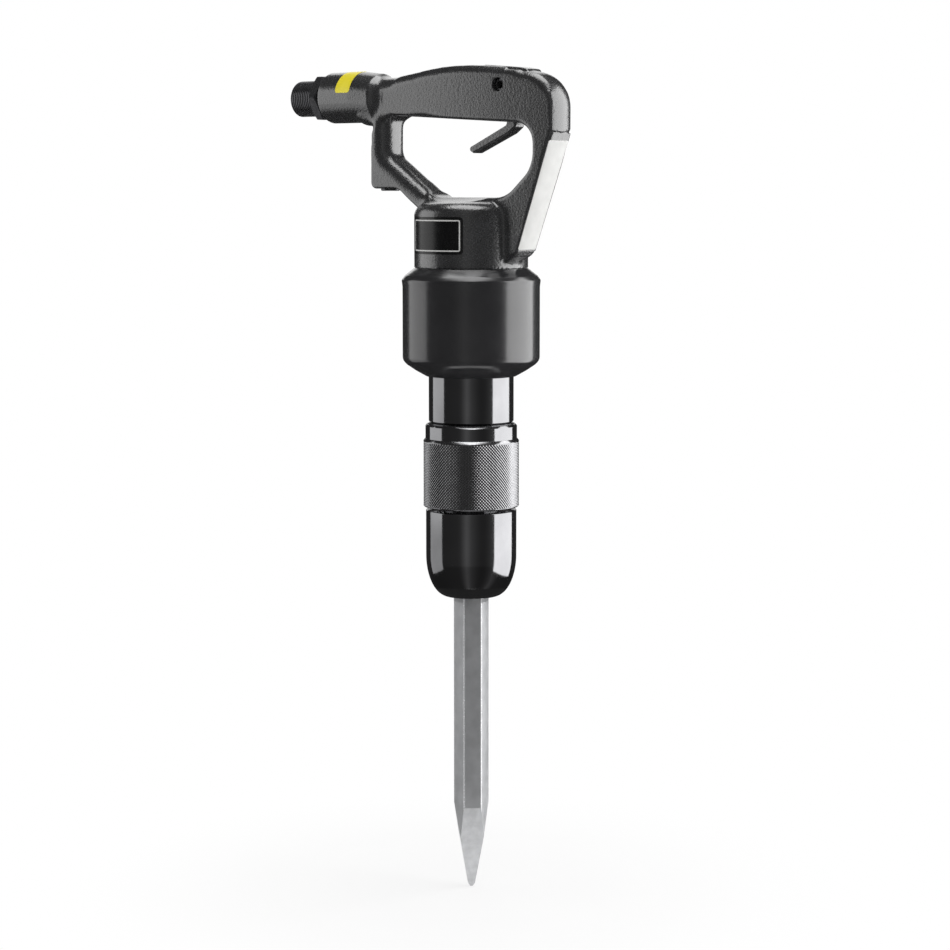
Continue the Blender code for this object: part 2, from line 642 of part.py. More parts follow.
# Barrel: threaded top, clamping flange, plain neck and threaded tail round the piston bore
plate_top = COLLAR_FOOT_Z - SEAT
plate_foot = plate_top - MUFFLER_PLATE
flange_top = plate_foot - SEAT
flange_foot = flange_top - FLANGE_LENGTH
tail_foot = BARREL_SHOULDER_Z - TAIL_LENGTH
barrel = node("barrel", lathe((
    (BARREL_BORE, BARREL_TOP_Z),
    (BARREL_THREAD_RADIUS, BARREL_TOP_Z),
    (BARREL_THREAD_RADIUS, flange_top),
    (FLANGE_RADIUS, flange_top),
    (FLANGE_RADIUS, flange_foot),
    (BARREL_RADIUS, flange_foot),
    (BARREL_RADIUS, BARREL_SHOULDER_Z + BARREL_CHAMFER),
    (BARREL_RADIUS - BARREL_CHAMFER, BARREL_SHOULDER_Z),
    (TAIL_RADIUS, BARREL_SHOULDER_Z),
    (TAIL_RADIUS, tail_foot),
    (BARREL_BORE, tail_foot),
)), GLOSS)
dowel_top = BARREL_TOP_Z + SEAT + DOWEL_IN_CHEST
dowel_foot = dowel_top - DOWEL_LENGTH
ports = []
for i in range(PORT_COUNT):
    port = rod(PORT_RADIUS, BARREL_BORE - CUT, BARREL_RADIUS + CUT, SIDES_HOLE, AXIS_X)
    bmesh.ops.transform(port, matrix=Matrix.Rotation(math.tau * i / PORT_COUNT, 4, "Z"), verts=port.verts)
    shift(port, 0, 0, COLLAR_FOOT_Z - PORT_DROP)
    ports.append(port)
dowel_hole = rod(DOWEL_RADIUS + SEAT, dowel_foot - SEAT, BARREL_TOP_Z + CUT, SIDES_HOLE)
shift(dowel_hole, DOWEL_AT)
combine(barrel, "DIFFERENCE", *ports, dowel_hole)

# Exhaust muffler: a shell clamped under the collar, open in a narrow ring at the barrel's neck
vent = BARREL_RADIUS + MUFFLER_VENT
inner = MUFFLER_RADIUS - MUFFLER_WALL
node("exhaust_muffler", lathe((
    (BARREL_THREAD_RADIUS + SEAT, plate_top),
    (COLLAR_RADIUS, plate_top),
    (MUFFLER_RADIUS - 1.8, MUFFLER_SHOULDER_Z + 3.4),
    (MUFFLER_RADIUS - 0.2, MUFFLER_SHOULDER_Z + 0.8),
    (MUFFLER_RADIUS + MUFFLER_BEAD, MUFFLER_SHOULDER_Z - 1.2),
    (MUFFLER_RADIUS, MUFFLER_SHOULDER_Z - 4.5),
    (MUFFLER_RADIUS, MUFFLER_WAIST_Z + 1.0),
    (MUFFLER_RADIUS - 0.8, MUFFLER_WAIST_Z - 2.0),
    (MUFFLER_RADIUS - 3.0, MUFFLER_WAIST_Z - 4.4),
    (MUFFLER_RADIUS - 9.4, MUFFLER_WAIST_Z - 8.6),
    (vent + MUFFLER_LIP, MUFFLER_LIP_Z),
    (vent, MUFFLER_LIP_Z),
    (vent, MUFFLER_LIP_Z + 3.0),
    (inner - 3.0, MUFFLER_WAIST_Z - 1.0),
    (inner, MUFFLER_WAIST_Z + 3.0),
    (inner, MUFFLER_SHOULDER_Z - 3.0),
    (FLANGE_RADIUS + MUFFLER_ROOM, plate_foot),
    (BARREL_THREAD_RADIUS + SEAT, plate_foot),
)), BLACK)

# Valve chest: two plates with a floating disc between them, held down by a seal under the socket's ceiling
lower_foot = BARREL_TOP_Z + SEAT
lower_top = lower_foot + CHEST_LOWER_LENGTH
disc_foot = lower_top - DISC_WELL
upper_foot = lower_top + SEAT
upper_top = upper_foot + CHEST_UPPER_LENGTH
disc_roof = disc_foot + DISC_LENGTH + DISC_TRAVEL + 2 * SEAT
lower = node("chest_lower", lathe((
    (CHEST_HOLE, lower_foot),
    (CHEST_RADIUS, lower_foot),
    (CHEST_RADIUS, lower_top),
    (DISC_RADIUS + RUN, lower_top),
    (DISC_RADIUS + RUN, disc_foot),
    (CHEST_HOLE, disc_foot),
), SIDES_SMALL), STEEL)
chest_hole = rod(DOWEL_RADIUS + SEAT, lower_foot - CUT, dowel_top + SEAT, SIDES_HOLE)
shift(chest_hole, DOWEL_AT)
combine(lower, "DIFFERENCE", chest_hole)
node("valve_disc", rod(DISC_RADIUS, disc_foot + SEAT, disc_foot + SEAT + DISC_LENGTH), STEEL)
node("chest_upper", lathe((
    (CHEST_UPPER_HOLE, upper_top),
    (CHEST_RADIUS, upper_top),
    (CHEST_RADIUS, upper_foot),
    (DISC_RADIUS + RUN, upper_foot),
    (DISC_RADIUS + RUN, disc_roof),
    (CHEST_UPPER_HOLE, disc_roof),
), SIDES_SMALL), STEEL)
dowel = rod(DOWEL_RADIUS, dowel_foot, dowel_top, SIDES_HOLE)
shift(dowel, DOWEL_AT)
node("chest_dowel", dowel, STEEL)
node("socket_seal", tube(CHEST_RADIUS - SEAL_WIDTH, CHEST_RADIUS, upper_top + SEAT, socket_top - SEAT), RUBBER)

# Piston that strikes the chisel
piston_radius = BARREL_BORE - RUN
piston_top = PISTON_FOOT_Z + PISTON_LENGTH
node("piston", lathe((
    (0, PISTON_FOOT_Z),
    (piston_radius - PISTON_CHAMFER, PISTON_FOOT_Z),
    (piston_radius, PISTON_FOOT_Z + PISTON_CHAMFER),
    (piston_radius, piston_top - PISTON_CHAMFER),
    (piston_radius - PISTON_CHAMFER, piston_top),
    (0, piston_top),
), SIDES_SMALL), STEEL)

# Retainer body on the barrel's tail, carrying the balls
retainer_top = BARREL_SHOULDER_Z - SEAT
floor_top = tail_foot - SEAT
floor_foot = floor_top - RETAINER_FLOOR
retainer = node("retainer_body", lathe((
    (TAIL_RADIUS + SEAT, retainer_top),
    (BARREL_RADIUS, retainer_top),
    (BARREL_RADIUS, floor_foot),
    (RETAINER_NECK, floor_foot),
    (RETAINER_NECK, RETAINER_FOOT_Z),
    (RETAINER_BORE, RETAINER_FOOT_Z),
    (RETAINER_BORE, floor_top),
    (TAIL_RADIUS + SEAT, floor_top),
), 36), DARK_STEEL)
ball_at = BALL_INNER + BALL_RADIUS
headings = [math.radians(CHISEL_TURN) + math.tau * i / BALL_COUNT for i in range(BALL_COUNT)]
holes = []
for heading in headings:
    hole = rod(BALL_RADIUS + RUN, RETAINER_BORE - CUT, RETAINER_NECK + CUT, 16, AXIS_X)
    bmesh.ops.transform(hole, matrix=Matrix.Rotation(heading, 4, "Z"), verts=hole.verts)
    shift(hole, 0, 0, BALL_Z)
    holes.append(hole)
combine(retainer, "DIFFERENCE", *holes)
for i, heading in enumerate(headings):
    ball = bmesh.new()
    bmesh.ops.create_uvsphere(ball, u_segments=12, v_segments=8, radius=BALL_RADIUS)
    centre = (ball_at * math.cos(heading), ball_at * math.sin(heading), BALL_Z)
    shift(ball, *centre)
    node("retaining_ball_" + str(i + 1), ball, STEEL, centre)

# Knurled sleeve that slides up over the barrel's neck to free the balls
cam_start = BALL_INNER + 2 * BALL_RADIUS + CAM_ROOM
node("knurled_sleeve", lathe((
    (SLEEVE_BORE, SLEEVE_TOP_Z),
    (SLEEVE_RING_RADIUS - SLEEVE_CHAMFER, SLEEVE_TOP_Z),
    (SLEEVE_RING_RADIUS, SLEEVE_TOP_Z - SLEEVE_CHAMFER),
    (SLEEVE_RING_RADIUS, SLEEVE_KNURL_Z),
    (SLEEVE_KNURL_RADIUS - KNURL_CHAMFER, SLEEVE_KNURL_Z),
    (SLEEVE_KNURL_RADIUS, SLEEVE_KNURL_Z - KNURL_CHAMFER),
    (SLEEVE_KNURL_RADIUS, SLEEVE_FOOT_Z + SLEEVE_CHAMFER),
    (SLEEVE_KNURL_RADIUS - SLEEVE_CHAMFER, SLEEVE_FOOT_Z),
    (cam_start + CAM_SLOPE * (BALL_Z - SLEEVE_FOOT_Z), SLEEVE_FOOT_Z),
    (cam_start + CAM_SLOPE * (BALL_Z - SLEEVE_LEDGE_Z), SLEEVE_LEDGE_Z),
    (SLEEVE_BORE, SLEEVE_LEDGE_Z),
)), DARK_STEEL)
spring_coil = (RETAINER_NECK + SLEEVE_BORE) / 2
sleeve_wire = helix(SLEEVE_TURNS, spring_coil, SLEEVE_WIRE, SLEEVE_LEDGE_Z + SEAT, floor_foot - SEAT, AXIS_Z)
node("sleeve_spring", sleeve_wire, STEEL)

# Hexagonal bush that guides the chisel in the barrel's tail
bush_foot = floor_top + SEAT
bush_top = bush_foot + BUSH_LENGTH
bush_corner = CHISEL_CORNER + 2 * RUN / math.sqrt(3)
bush = node("front_bush", rod(BARREL_BORE - SEAT, bush_foot, bush_top), BRASS)
combine(bush, "DIFFERENCE", rod(bush_corner, bush_foot - CUT, bush_top + CUT, 6, AXIS_Z, CHISEL_TURN + 30.0))

# Nose cap: a domed ring screwed on the retainer body, with a dust seal inside
dome = []
for k in range(DOME_STEPS + 1):
    a = math.pi / 2 * k / DOME_STEPS
    dome.append((NOSE_TIP + (NOSE_RADIUS - NOSE_TIP) * math.cos(a),
                 NOSE_DOME_Z - (NOSE_DOME_Z - NOSE_FOOT_Z) * math.sin(a)))
node("nose_cap", lathe([
    (NOSE_MOUTH, NOSE_SOCKET_Z),
    (RETAINER_NECK + SEAT, NOSE_SOCKET_Z),
    (RETAINER_NECK + SEAT, NOSE_TOP_Z),
    (NOSE_RADIUS - SLEEVE_CHAMFER, NOSE_TOP_Z),
    (NOSE_RADIUS, NOSE_TOP_Z - SLEEVE_CHAMFER),
] + dome + [(NOSE_MOUTH, NOSE_FOOT_Z)]), GLOSS)
node("dust_seal", tube(RETAINER_BORE, RETAINER_NECK, NOSE_SOCKET_Z + SEAT, RETAINER_FOOT_Z - SEAT), RUBBER)


# A four-sided taper between two levels, wide enough above to miss the bar
def taper(high, high_half, low, low_half):
    slope = (high_half - low_half) / (high - low)
    top = CHISEL_TOP_Z + CUT
    foot = CHISEL_TIP_Z - CHISEL_TIP_HALF / 2
    return lathe((
        (0, foot),
        (math.sqrt(2) * (low_half + slope * (foot - low)), foot),
        (math.sqrt(2) * (low_half + slope * (top - low)), top),
        (0, top),
    ), 4, AXIS_Z, CHISEL_TURN + 45.0)


# Chisel: hexagonal bar with a turned retaining groove, a four-sided point and a blunted end
chisel = node("chisel", lathe((
    (0, CHISEL_TOP_Z),
    (CHISEL_CORNER - CHISEL_CHAMFER, CHISEL_TOP_Z),
    (CHISEL_CORNER, CHISEL_TOP_Z - CHISEL_CHAMFER),
    (CHISEL_CORNER, CHISEL_TIP_Z),
    (0, CHISEL_TIP_Z),
), 6, AXIS_Z, CHISEL_TURN + 30.0), STEEL, (0, 0, 0), 20.0)
groove = tube(GROOVE_RADIUS, CHISEL_CORNER + CUT, GROOVE_TOP_Z - GROOVE_LENGTH, GROOVE_TOP_Z)
combine(chisel, "DIFFERENCE", groove)
point = taper(CHISEL_TAPER_Z, CHISEL_CORNER, CHISEL_BEVEL_Z, CHISEL_BEVEL_HALF)
blunt = taper(CHISEL_BEVEL_Z, CHISEL_BEVEL_HALF, CHISEL_TIP_Z, CHISEL_TIP_HALF)
combine(chisel, "INTERSECT", point, blunt)
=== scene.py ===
import math
import bmesh
import bpy
import numpy as np
from mathutils import Matrix, Vector
from mathutils.geometry import tessellate_polygon


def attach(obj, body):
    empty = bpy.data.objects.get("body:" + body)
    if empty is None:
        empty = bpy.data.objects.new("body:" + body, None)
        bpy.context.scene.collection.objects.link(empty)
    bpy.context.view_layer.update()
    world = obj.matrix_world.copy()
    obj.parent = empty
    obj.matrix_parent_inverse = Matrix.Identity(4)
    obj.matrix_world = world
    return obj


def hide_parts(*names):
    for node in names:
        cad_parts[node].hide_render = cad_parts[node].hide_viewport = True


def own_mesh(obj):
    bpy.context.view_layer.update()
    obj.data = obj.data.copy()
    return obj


# Air hammer, handle up and point down. Sizes are in millimetres, meshes in metres.
# Z is the hammer axis, the handle lies in the XZ plane, the inlet points to -X.
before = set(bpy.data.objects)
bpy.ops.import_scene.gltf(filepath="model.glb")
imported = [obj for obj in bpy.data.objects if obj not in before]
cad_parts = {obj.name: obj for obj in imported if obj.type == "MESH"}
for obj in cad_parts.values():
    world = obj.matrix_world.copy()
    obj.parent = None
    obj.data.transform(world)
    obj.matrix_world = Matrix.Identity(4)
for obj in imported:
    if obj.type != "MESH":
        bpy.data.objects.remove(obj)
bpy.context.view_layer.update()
mm = 0.001
scene = bpy.context.scene
scene.view_settings.view_transform = "Standard"


def hexColour(code):
    parts = [int(code[i:i + 2], 16) / 255 for i in (1, 3, 5)]
    return [c / 12.92 if c <= 0.04045 else ((c + 0.055) / 1.055) ** 2.4 for c in parts] + [1.0]


# one node with its settings, and its inputs set or linked
def addNode(tree, kind, inputs=None, **settings):
    made = tree.nodes.new(kind)
    for name, value in settings.items():
        setattr(made, name, value)
    for name, value in (inputs or {}).items():
        if isinstance(value, bpy.types.NodeSocket):
            tree.links.new(value, made.inputs[name])
        else:
            made.inputs[name].default_value = value
    return made


# a finish from its dictionary: a wide cloud shifts the colour, a fine grain shifts gloss and height
def makeFinish(name, look):
    material = bpy.data.materials.new(name)
    material.use_nodes = True
    tree = material.node_tree
    shader = tree.nodes["Principled BSDF"]
    for socket, value in look["shader"].items():
        shader.inputs[socket].default_value = value
    place = addNode(tree, "ShaderNodeTexCoord").outputs["Object"]
    cloud = addNode(tree, "ShaderNodeTexNoise", {"Vector": place, "Scale": 1000 / look["cloud"], "Detail": 3.0})
    shade = addNode(tree, "ShaderNodeValToRGB", {"Fac": cloud.outputs["Fac"]})
    for spot, at, code in zip(shade.color_ramp.elements, (0.3, 0.7), look["colours"]):
        spot.position = at
        spot.color = hexColour(code)
    tree.links.new(shade.outputs["Color"], shader.inputs["Base Color"])
    drawn = addNode(tree, "ShaderNodeMapping", {"Vector": place, "Scale": look.get("stretch", (1.0, 1.0, 1.0))})
    grain = addNode(tree, "ShaderNodeTexNoise", {"Vector": drawn.outputs["Vector"], "Scale": 1000 / look["grain"],
                                                 "Detail": look.get("detail", 3.0)})
    gloss = addNode(tree, "ShaderNodeMapRange", {"Value": grain.outputs["Fac"], "From Min": 0.3, "From Max": 0.7,
                                                 "To Min": look["rough"][0], "To Max": look["rough"][1]})
    tree.links.new(gloss.outputs["Result"], shader.inputs["Roughness"])
    if look.get("depth"):
        relief = addNode(tree, "ShaderNodeBump", {"Height": grain.outputs["Fac"], "Distance": look["depth"] * mm})
        tree.links.new(relief.outputs["Normal"], shader.inputs["Normal"])
        tree.links.new(relief.outputs["Normal"], shader.inputs["Coat Normal"])
    return material


# cloud and grain are in millimetres, depth is the height of the grain
finishes = {
    # cast aluminium under textured black enamel: pebbled black skin that still shows the lamps
    "cast": makeFinish("castBlackEnamel", {
        "shader": {"IOR": 1.5, "Specular IOR Level": 1.0, "Coat Weight": 1.0, "Coat IOR": 1.8, "Coat Roughness": 0.2},
        "colours": ("#29292a", "#323234"), "cloud": 13.0, "grain": 1.5, "detail": 2.0,
        "rough": (0.22, 0.34), "depth": 0.15}),
    # pressed steel in satin black powder coat: soft bands of light over fine orange peel
    "powder": makeFinish("satinBlackPowderCoat", {
        "shader": {"Metallic": 0.25, "IOR": 1.5, "Specular IOR Level": 1.0, "Coat Weight": 0.8, "Coat Roughness": 0.15},
        "colours": ("#2c2c2e", "#353537"), "cloud": 24.0, "grain": 2.6, "rough": (0.2, 0.27), "depth": 0.008}),
    # ground steel under black chrome: dark mirror with faint turning lines
    "chrome": makeFinish("polishedBlackChrome", {
        "shader": {"Metallic": 1.0}, "colours": ("#939395", "#9b9b9d"), "cloud": 18.0, "grain": 0.9,
        "stretch": (0.03, 0.03, 1.0), "rough": (0.07, 0.12), "depth": 0.004}),
    # cut knurl in nickelled steel: bright facets against dark ones
    "knurl": makeFinish("nickelledKnurl", {
        "shader": {"Metallic": 1.0}, "colours": ("#a0a0a2", "#b0b0b2"), "cloud": 3.0, "grain": 1.0,
        "rough": (0.11, 0.17)}),
    # turned steel with black oxide: dark with an oily gloss on its edges
    "dark": makeFinish("blackOxideSteel", {
        "shader": {"Metallic": 0.8}, "colours": ("#5a5a5c", "#68686b"), "cloud": 3.0, "grain": 1.2,
        "rough": (0.2, 0.3)}),
    # machined bright steel: grey metal with fine marks
    "bright": makeFinish("machinedBrightSteel", {
        "shader": {"Metallic": 1.0}, "colours": ("#a9abae", "#bfc1c4"), "cloud": 4.0, "grain": 0.9,
        "rough": (0.24, 0.36)}),
    # rolled hexagonal bar: grey mill skin drawn out along the bar
    "bar": makeFinish("rolledToolSteel", {
        "shader": {"Metallic": 0.6}, "colours": ("#b2b3b5", "#c2c3c5"), "cloud": 9.0, "grain": 1.4,
        "stretch": (1.0, 1.0, 0.06), "rough": (0.36, 0.46), "depth": 0.015}),
    # corners of the bar painted pale as a painted highlight: thin shining lines between the flats
    "edge": makeFinish("paintedHighlightCornerSteel", {
        "shader": {"Metallic": 0.35}, "colours": ("#e2e3e5", "#ebecee"), "cloud": 9.0, "grain": 1.2,
        "rough": (0.2, 0.3)}),
    # ground point: paler steel with grinding lines across the taper
    "ground": makeFinish("groundToolSteel", {
        "shader": {"Metallic": 0.6}, "colours": ("#d2d3d5", "#e4e5e7"), "cloud": 5.0, "grain": 0.8,
        "stretch": (0.1, 0.1, 1.0), "rough": (0.34, 0.46), "depth": 0.015}),
    # turned brass, a little dulled
    "brass": makeFinish("turnedBrass", {
        "shader": {"Metallic": 1.0}, "colours": ("#b58f45", "#c9a65c"), "cloud": 4.0, "grain": 1.0,
        "rough": (0.22, 0.36)}),
    # moulded nitrile rubber: matt black with a faint bloom
    "rubber": makeFinish("mouldedNitrile", {
        "shader": {"IOR": 1.52}, "colours": ("#161617", "#242425"), "cloud": 5.0, "grain": 1.5, "rough": (0.6, 0.75)}),
    # vinyl stickers: even print colours with a slight ripple from the paint below
    "yellow": makeFinish("yellowVinyl", {
        "shader": {"IOR": 1.5}, "colours": ("#fbe926", "#fff03e"), "cloud": 8.0, "grain": 5.0,
        "rough": (0.32, 0.42), "depth": 0.03}),
    "white": makeFinish("whiteVinyl", {
        "shader": {"IOR": 1.5}, "colours": ("#d2d2d0", "#dbdbd9"), "cloud": 8.0, "grain": 5.0,
        "rough": (0.36, 0.46), "depth": 0.03}),
    "black": makeFinish("blackVinyl", {
        "shader": {"IOR": 1.5}, "colours": ("#0c0c0d", "#121213"), "cloud": 8.0, "grain": 4.0,
        "rough": (0.22, 0.3), "depth": 0.02}),
}
print("finishes ready:", len(finishes))


# mesh object from points in millimetres and faces, placed at the origin
def makePiece(name, points, faces, material, sharp=32.0):
    mesh = bpy.data.meshes.new(name)
    mesh.from_pydata([tuple(p) for p in np.asarray(points, float) * mm], [], [tuple(f) for f in faces])
    mesh.validate()
    mesh.shade_smooth()
    mesh.set_sharp_from_angle(angle=math.radians(sharp))
    mesh.materials.append(material)
    piece = bpy.data.objects.new(name, mesh)
    scene.collection.objects.link(piece)
    return piece


def alongX(points):
    return [(h, x, y) for x, y, h in points]


def upright(points):
    return points


# closed outline from (u, v, radius) corners, each an arc of steps of a few degrees
def arcLine(corners, stepAngle=6.0):
    line = []
    for i, (u, v, radius) in enumerate(corners):
        here = np.array((u, v), float)
        back = np.array(corners[i - 1][:2], float) - here
        ahead = np.array(corners[(i + 1) % len(corners)][:2], float) - here
        back = back / np.linalg.norm(back)
        ahead = ahead / np.linalg.norm(ahead)
        inside = math.acos(np.clip(back @ ahead, -1.0, 1.0))
        if radius <= 0 or math.pi - inside < 0.01:
            line.append(here)
            continue
        middle = here + (back + ahead) / np.linalg.norm(back + ahead) * radius / math.sin(inside / 2)
        start = here + back * radius / math.tan(inside / 2) - middle
        sweep = math.pi - inside
        steps = max(2, math.ceil(math.degrees(sweep) / stepAngle))
        side = math.copysign(1.0, ahead[0] * back[1] - ahead[1] * back[0])
        for k in range(steps + 1):
            a = side * sweep * k / steps
            line.append(middle + (start[0] * math.cos(a) - start[1] * math.sin(a),
                                  start[0] * math.sin(a) + start[1] * math.cos(a)))
    return np.array(line)


def circleLine(u, v, radius, steps=40, start=0.0):
    turns = [start + math.tau * k / steps for k in range(steps)]
    return np.array([(u + radius * math.cos(a), v + radius * math.sin(a)) for a in turns])


def turnLeft(line):
    ahead = np.roll(line, -1, axis=0)
    area = np.sum(line[:, 0] * ahead[:, 1] - ahead[:, 0] * line[:, 1])
    return line if area > 0 else line[::-1]


# ring turned about an axis from closed (radius, height, rounding) corners
def turnedRing(name, corners, material, sides=128, place=upright, stepAngle=10.0):
    line = turnLeft(arcLine(corners, stepAngle))
    count = len(line)
    points = [(x, y, h) for r, h in line for x, y in circleLine(0, 0, r, sides)]
    faces = []
    for i in range(count):
        j = (i + 1) % count
        for k in range(sides):
            m = (k + 1) % sides
            faces.append((i * sides + k, i * sides + m, j * sides + m, j * sides + k))
    return makePiece(name, place(points), faces, material)


# flat shape in the XZ plane with rounded edges, thick along Y
def plateForm(outer, holes, half, edge, steps=4):
    loops = [turnLeft(outer)] + [turnLeft(hole)[::-1] for hole in holes]
    levels = []
    for k in range(steps + 1):
        a = math.pi / 2 * k / steps
        levels.append((edge * (1 - math.sin(a)), half - edge + edge * math.cos(a)))
    levels += [(depth, -y) for depth, y in reversed(levels)]
    points, faces, caps = [], [], [[], []]
    for loop in loops:
        step = np.roll(loop, -1, axis=0) - loop
        step = step / np.linalg.norm(step, axis=1)[:, None]
        left = np.stack((-step[:, 1], step[:, 0]), axis=1)
        mitre = left + np.roll(left, 1, axis=0)
        mitre = mitre / np.sum(mitre * left, axis=1)[:, None]
        starts = []
        for depth, y in levels:
            starts.append(len(points))
            points += [(x, y, z) for x, z in loop + mitre * depth]
        n = len(loop)
        for one, two in zip(starts, starts[1:]):
            for i in range(n):
                j = (i + 1) % n
                faces.append((one + i, two + i, two + j, one + j))
        caps[0].append(list(range(starts[0], starts[0] + n)))
        caps[1].append(list(range(starts[-1], starts[-1] + n)))
    for rings in caps:
        flat = [i for ring in rings for i in ring]
        spread = [[Vector((points[i][0], points[i][2], 0.0)) for i in ring] for ring in rings]
        faces += [(flat[a], flat[b], flat[c]) for a, b, c in tessellate_polygon(spread)]
    return points, faces


def facesOut(piece):
    work = bmesh.new()
    work.from_mesh(piece.data)
    bmesh.ops.recalc_face_normals(work, faces=work.faces)
    work.to_mesh(piece.data)
    work.free()
    return piece


# keeps the evaluated mesh of a piece and drops its modifiers
def settle(piece):
    graph = bpy.context.evaluated_depsgraph_get()
    made = bpy.data.meshes.new_from_object(piece.evaluated_get(graph))
    piece.modifiers.clear()
    piece.data = made
    made.name = piece.name
    return piece


def carve(piece, operation, *tools):
    for tool in tools:
        step = piece.modifiers.new(operation, "BOOLEAN")
        step.operation = operation
        step.solver = "EXACT"
        step.material_mode = "TRANSFER"
        step.object = tool
        settle(piece)
        bpy.data.objects.remove(tool, do_unlink=True)
    return piece


def softShade(piece, angle):
    piece.data.shade_smooth()
    piece.data.set_sharp_from_angle(angle=math.radians(angle))
    return piece


def joinPieces(main, *others):
    work = bmesh.new()
    work.from_mesh(main.data)
    for other in others:
        first = len(main.data.materials)
        for material in other.data.materials:
            main.data.materials.append(material)
        known = len(work.faces)
        work.from_mesh(other.data)
        work.faces.ensure_lookup_table()
        for face in work.faces[known:]:
            face.material_index += first
        bpy.data.objects.remove(other, do_unlink=True)
    work.to_mesh(main.data)
    work.free()
    return main


# a piece stands for its node, whose CAD part it hides, and moves with its body
def hand(piece, node, body):
    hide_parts(node)
    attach(piece, body)
    return piece


# Handle casting: signed distances on a grid, then a net of quads over the surface
casting = {
    "cell": 1.0, "half": 13.0, "low": (-138.6, -41.6, -122.6), "high": (85.0, 41.6, 21.6), "top": 19.4,
    "outline": ((-88, 12.8, 8), (-62, 13.2, 40), (-6, 20.8, 220), (52, 16.0, 60), (82.9, 8.7, 25), (82.9, -26.9, 0.4),
                (81.6, -28.3, 0.3), (80.0, -32.4, 0.5), (50.9, -108.6, 0.6), (48.3, -113.0, 0.8), (38, -118.5, 3),
                (20, -114.5, 8), (-20, -96, 8), (-40, -80.6, 8), (-59, -65.9, 12), (-85.6, -65.9, 4.6),
                (-85.6, -21.6, 6), (-108, -19.2, 7)),
    "opening": ((-71.2, -13.73, 7), (64.3, -21.66, 15), (64.3, -50.6, 22), (40.3, -72, 26), (-26, -72, 16),
                (-71.2, -41.6, 9)),
    # (x, z, edge rounding) along the outer and the inner outline
    "outerRound": ((-74, 13, 11.0), (-56, 14, 9.0), (-30, 17, 9.0), (0, 20, 9.0), (50, 17, 9.0), (66, 15, 8.0),
                   (78, 9, 7.0), (83, -8, 4.0), (82, -26, 3.0), (66, -70, 1.4), (52, -106, 1.2), (-30, -86, 3.5),
                   (-60, -66, 1.8), (-85, -60, 1.5), (-86, -40, 1.5), (-86, -30, 2.5), (-90, -21, 9.0),
                   (-100, -19, 11.0)),
    # how far the rounding would rise above the outline, which cuts it off
    "outerCut": ((-74, 13, 0.0), (-50, 14, 1.2), (-30, 17, 1.6), (0, 20, 1.6), (40, 18, 1.6), (62, 15, 0.3),
                 (78, 9, 0.0), (83, -8, 0.0), (66, -70, 0.0), (-60, -66, 0.0), (-86, -40, 0.0)),
    "innerRound": ((-60, -15, 3.0), (0, -18, 2.6), (60, -21, 3.0), (64, -40, 2.4), (52, -62, 3.0), (30, -72, 3.0),
                   (0, -72, 3.0), (-24, -71, 5.5), (-38, -64, 10.5), (-50, -58, 11.5), (-70, -42, 11.5),
                   (-71, -28, 11.3)),
    # crown of the flat sides, front and back: its height, the x where it starts and its reach
    "bulge": (2.6, 0.5), "bulgeFrom": (-45.0, 120.0),
    # spine: the x where it starts, its crown, and how much thinner it gets by depth below the grip
    "spine": 40.0, "crown": 27.0, "spineThin": ((66, 94), (0, 1.6)), "thinFrom": 15.0,
    # slanted face: its top, its half width by depth, and the lean of the bevels beside it
    "slantTop": -28.4, "slantHalf": ((32.4, 108), (10.9, 9.8)), "bevel": (0.826, 0.563),
    # half moon: x and z of its middle, half width, rise at its ends, slope
    "moon": (50.1, -113.4, 9.9, 4.8, 0.36),
    # saddle: x of its middle, half length, half width of its flat, how much that grows, and the lean of its sides
    "saddle": (-3.0, 36.0, 3.0, 11.0), "saddleLean": (0.9135, 0.4067),
    # pad: x of its middle, half length, half width, rise, rounding
    "pad": (38.0, 20.0, 7.4, 0.7, 1.2),
    # collar: radius, top, foot, shoulder
    "collar": (40.1, -75.5, -121.0, 9.5), "blend": 3.5,
    # boss radius and droop of its axis, along x
    "bossX": (-139, -137, -133.6, -103, -84.5, -76), "bossRadius": (13.4, 15.0, 18.4, 18.4, 17.7, 11.5),
    "bossDroop": (0, 0, 0, 0, 1.3, 1.3), "bossBlend": 3.0,
    # stepped bore along x, which ends at the lever
    "boreX": (-117.71, -117.7, -97.71, -97.7, -69.01, -69.0, -57.71, -57.7),
    "boreRadius": (13.4, 11, 11, 8, 8, 5, 5, 2.9), "boreEnd": 22.0,
    # upright bores: x, radius, top
    "passages": ((-78.0, 5.2, 0.0), (-78.0, 7.1, -55.6), (0.0, 29.3, -87.0)),
    "pin": (34.4, 5.4), "pinHole": (4.5, 4.9), "pinMouth": (12.4, 13.0),
    "slot": (20.0, 50.0, -45.0, 15.0, 5.6),
}


def outlineDistance(px, pz, line):
    px, pz = np.broadcast_arrays(px, pz)
    nearest = np.full(px.shape, 1e9)
    inside = np.zeros(px.shape, bool)
    for (x0, z0), (x1, z1) in zip(line, np.roll(line, -1, axis=0)):
        ex, ez = x1 - x0, z1 - z0
        wx, wz = px - x0, pz - z0
        t = np.clip((wx * ex + wz * ez) / (ex * ex + ez * ez + 1e-12), 0, 1)
        nearest = np.minimum(nearest, (wx - ex * t) ** 2 + (wz - ez * t) ** 2)
        crosses = ((z0 <= pz) & (pz < z1)) | ((z1 <= pz) & (pz < z0))
        inside ^= crosses & (px < x0 + wz / (ez if abs(ez) > 1e-9 else 1e-9) * ex)
    return np.sqrt(nearest) * np.where(inside, -1, 1)


def roundBoth(a, b, r):
    return np.minimum(np.maximum(a, b), -r) + np.hypot(np.maximum(a + r, 0), np.maximum(b + r, 0))


def softJoin(a, b, k):
    h = np.clip(0.5 + 0.5 * (b - a) / k, 0, 1)
    return b * (1 - h) + a * h - k * h * (1 - h)


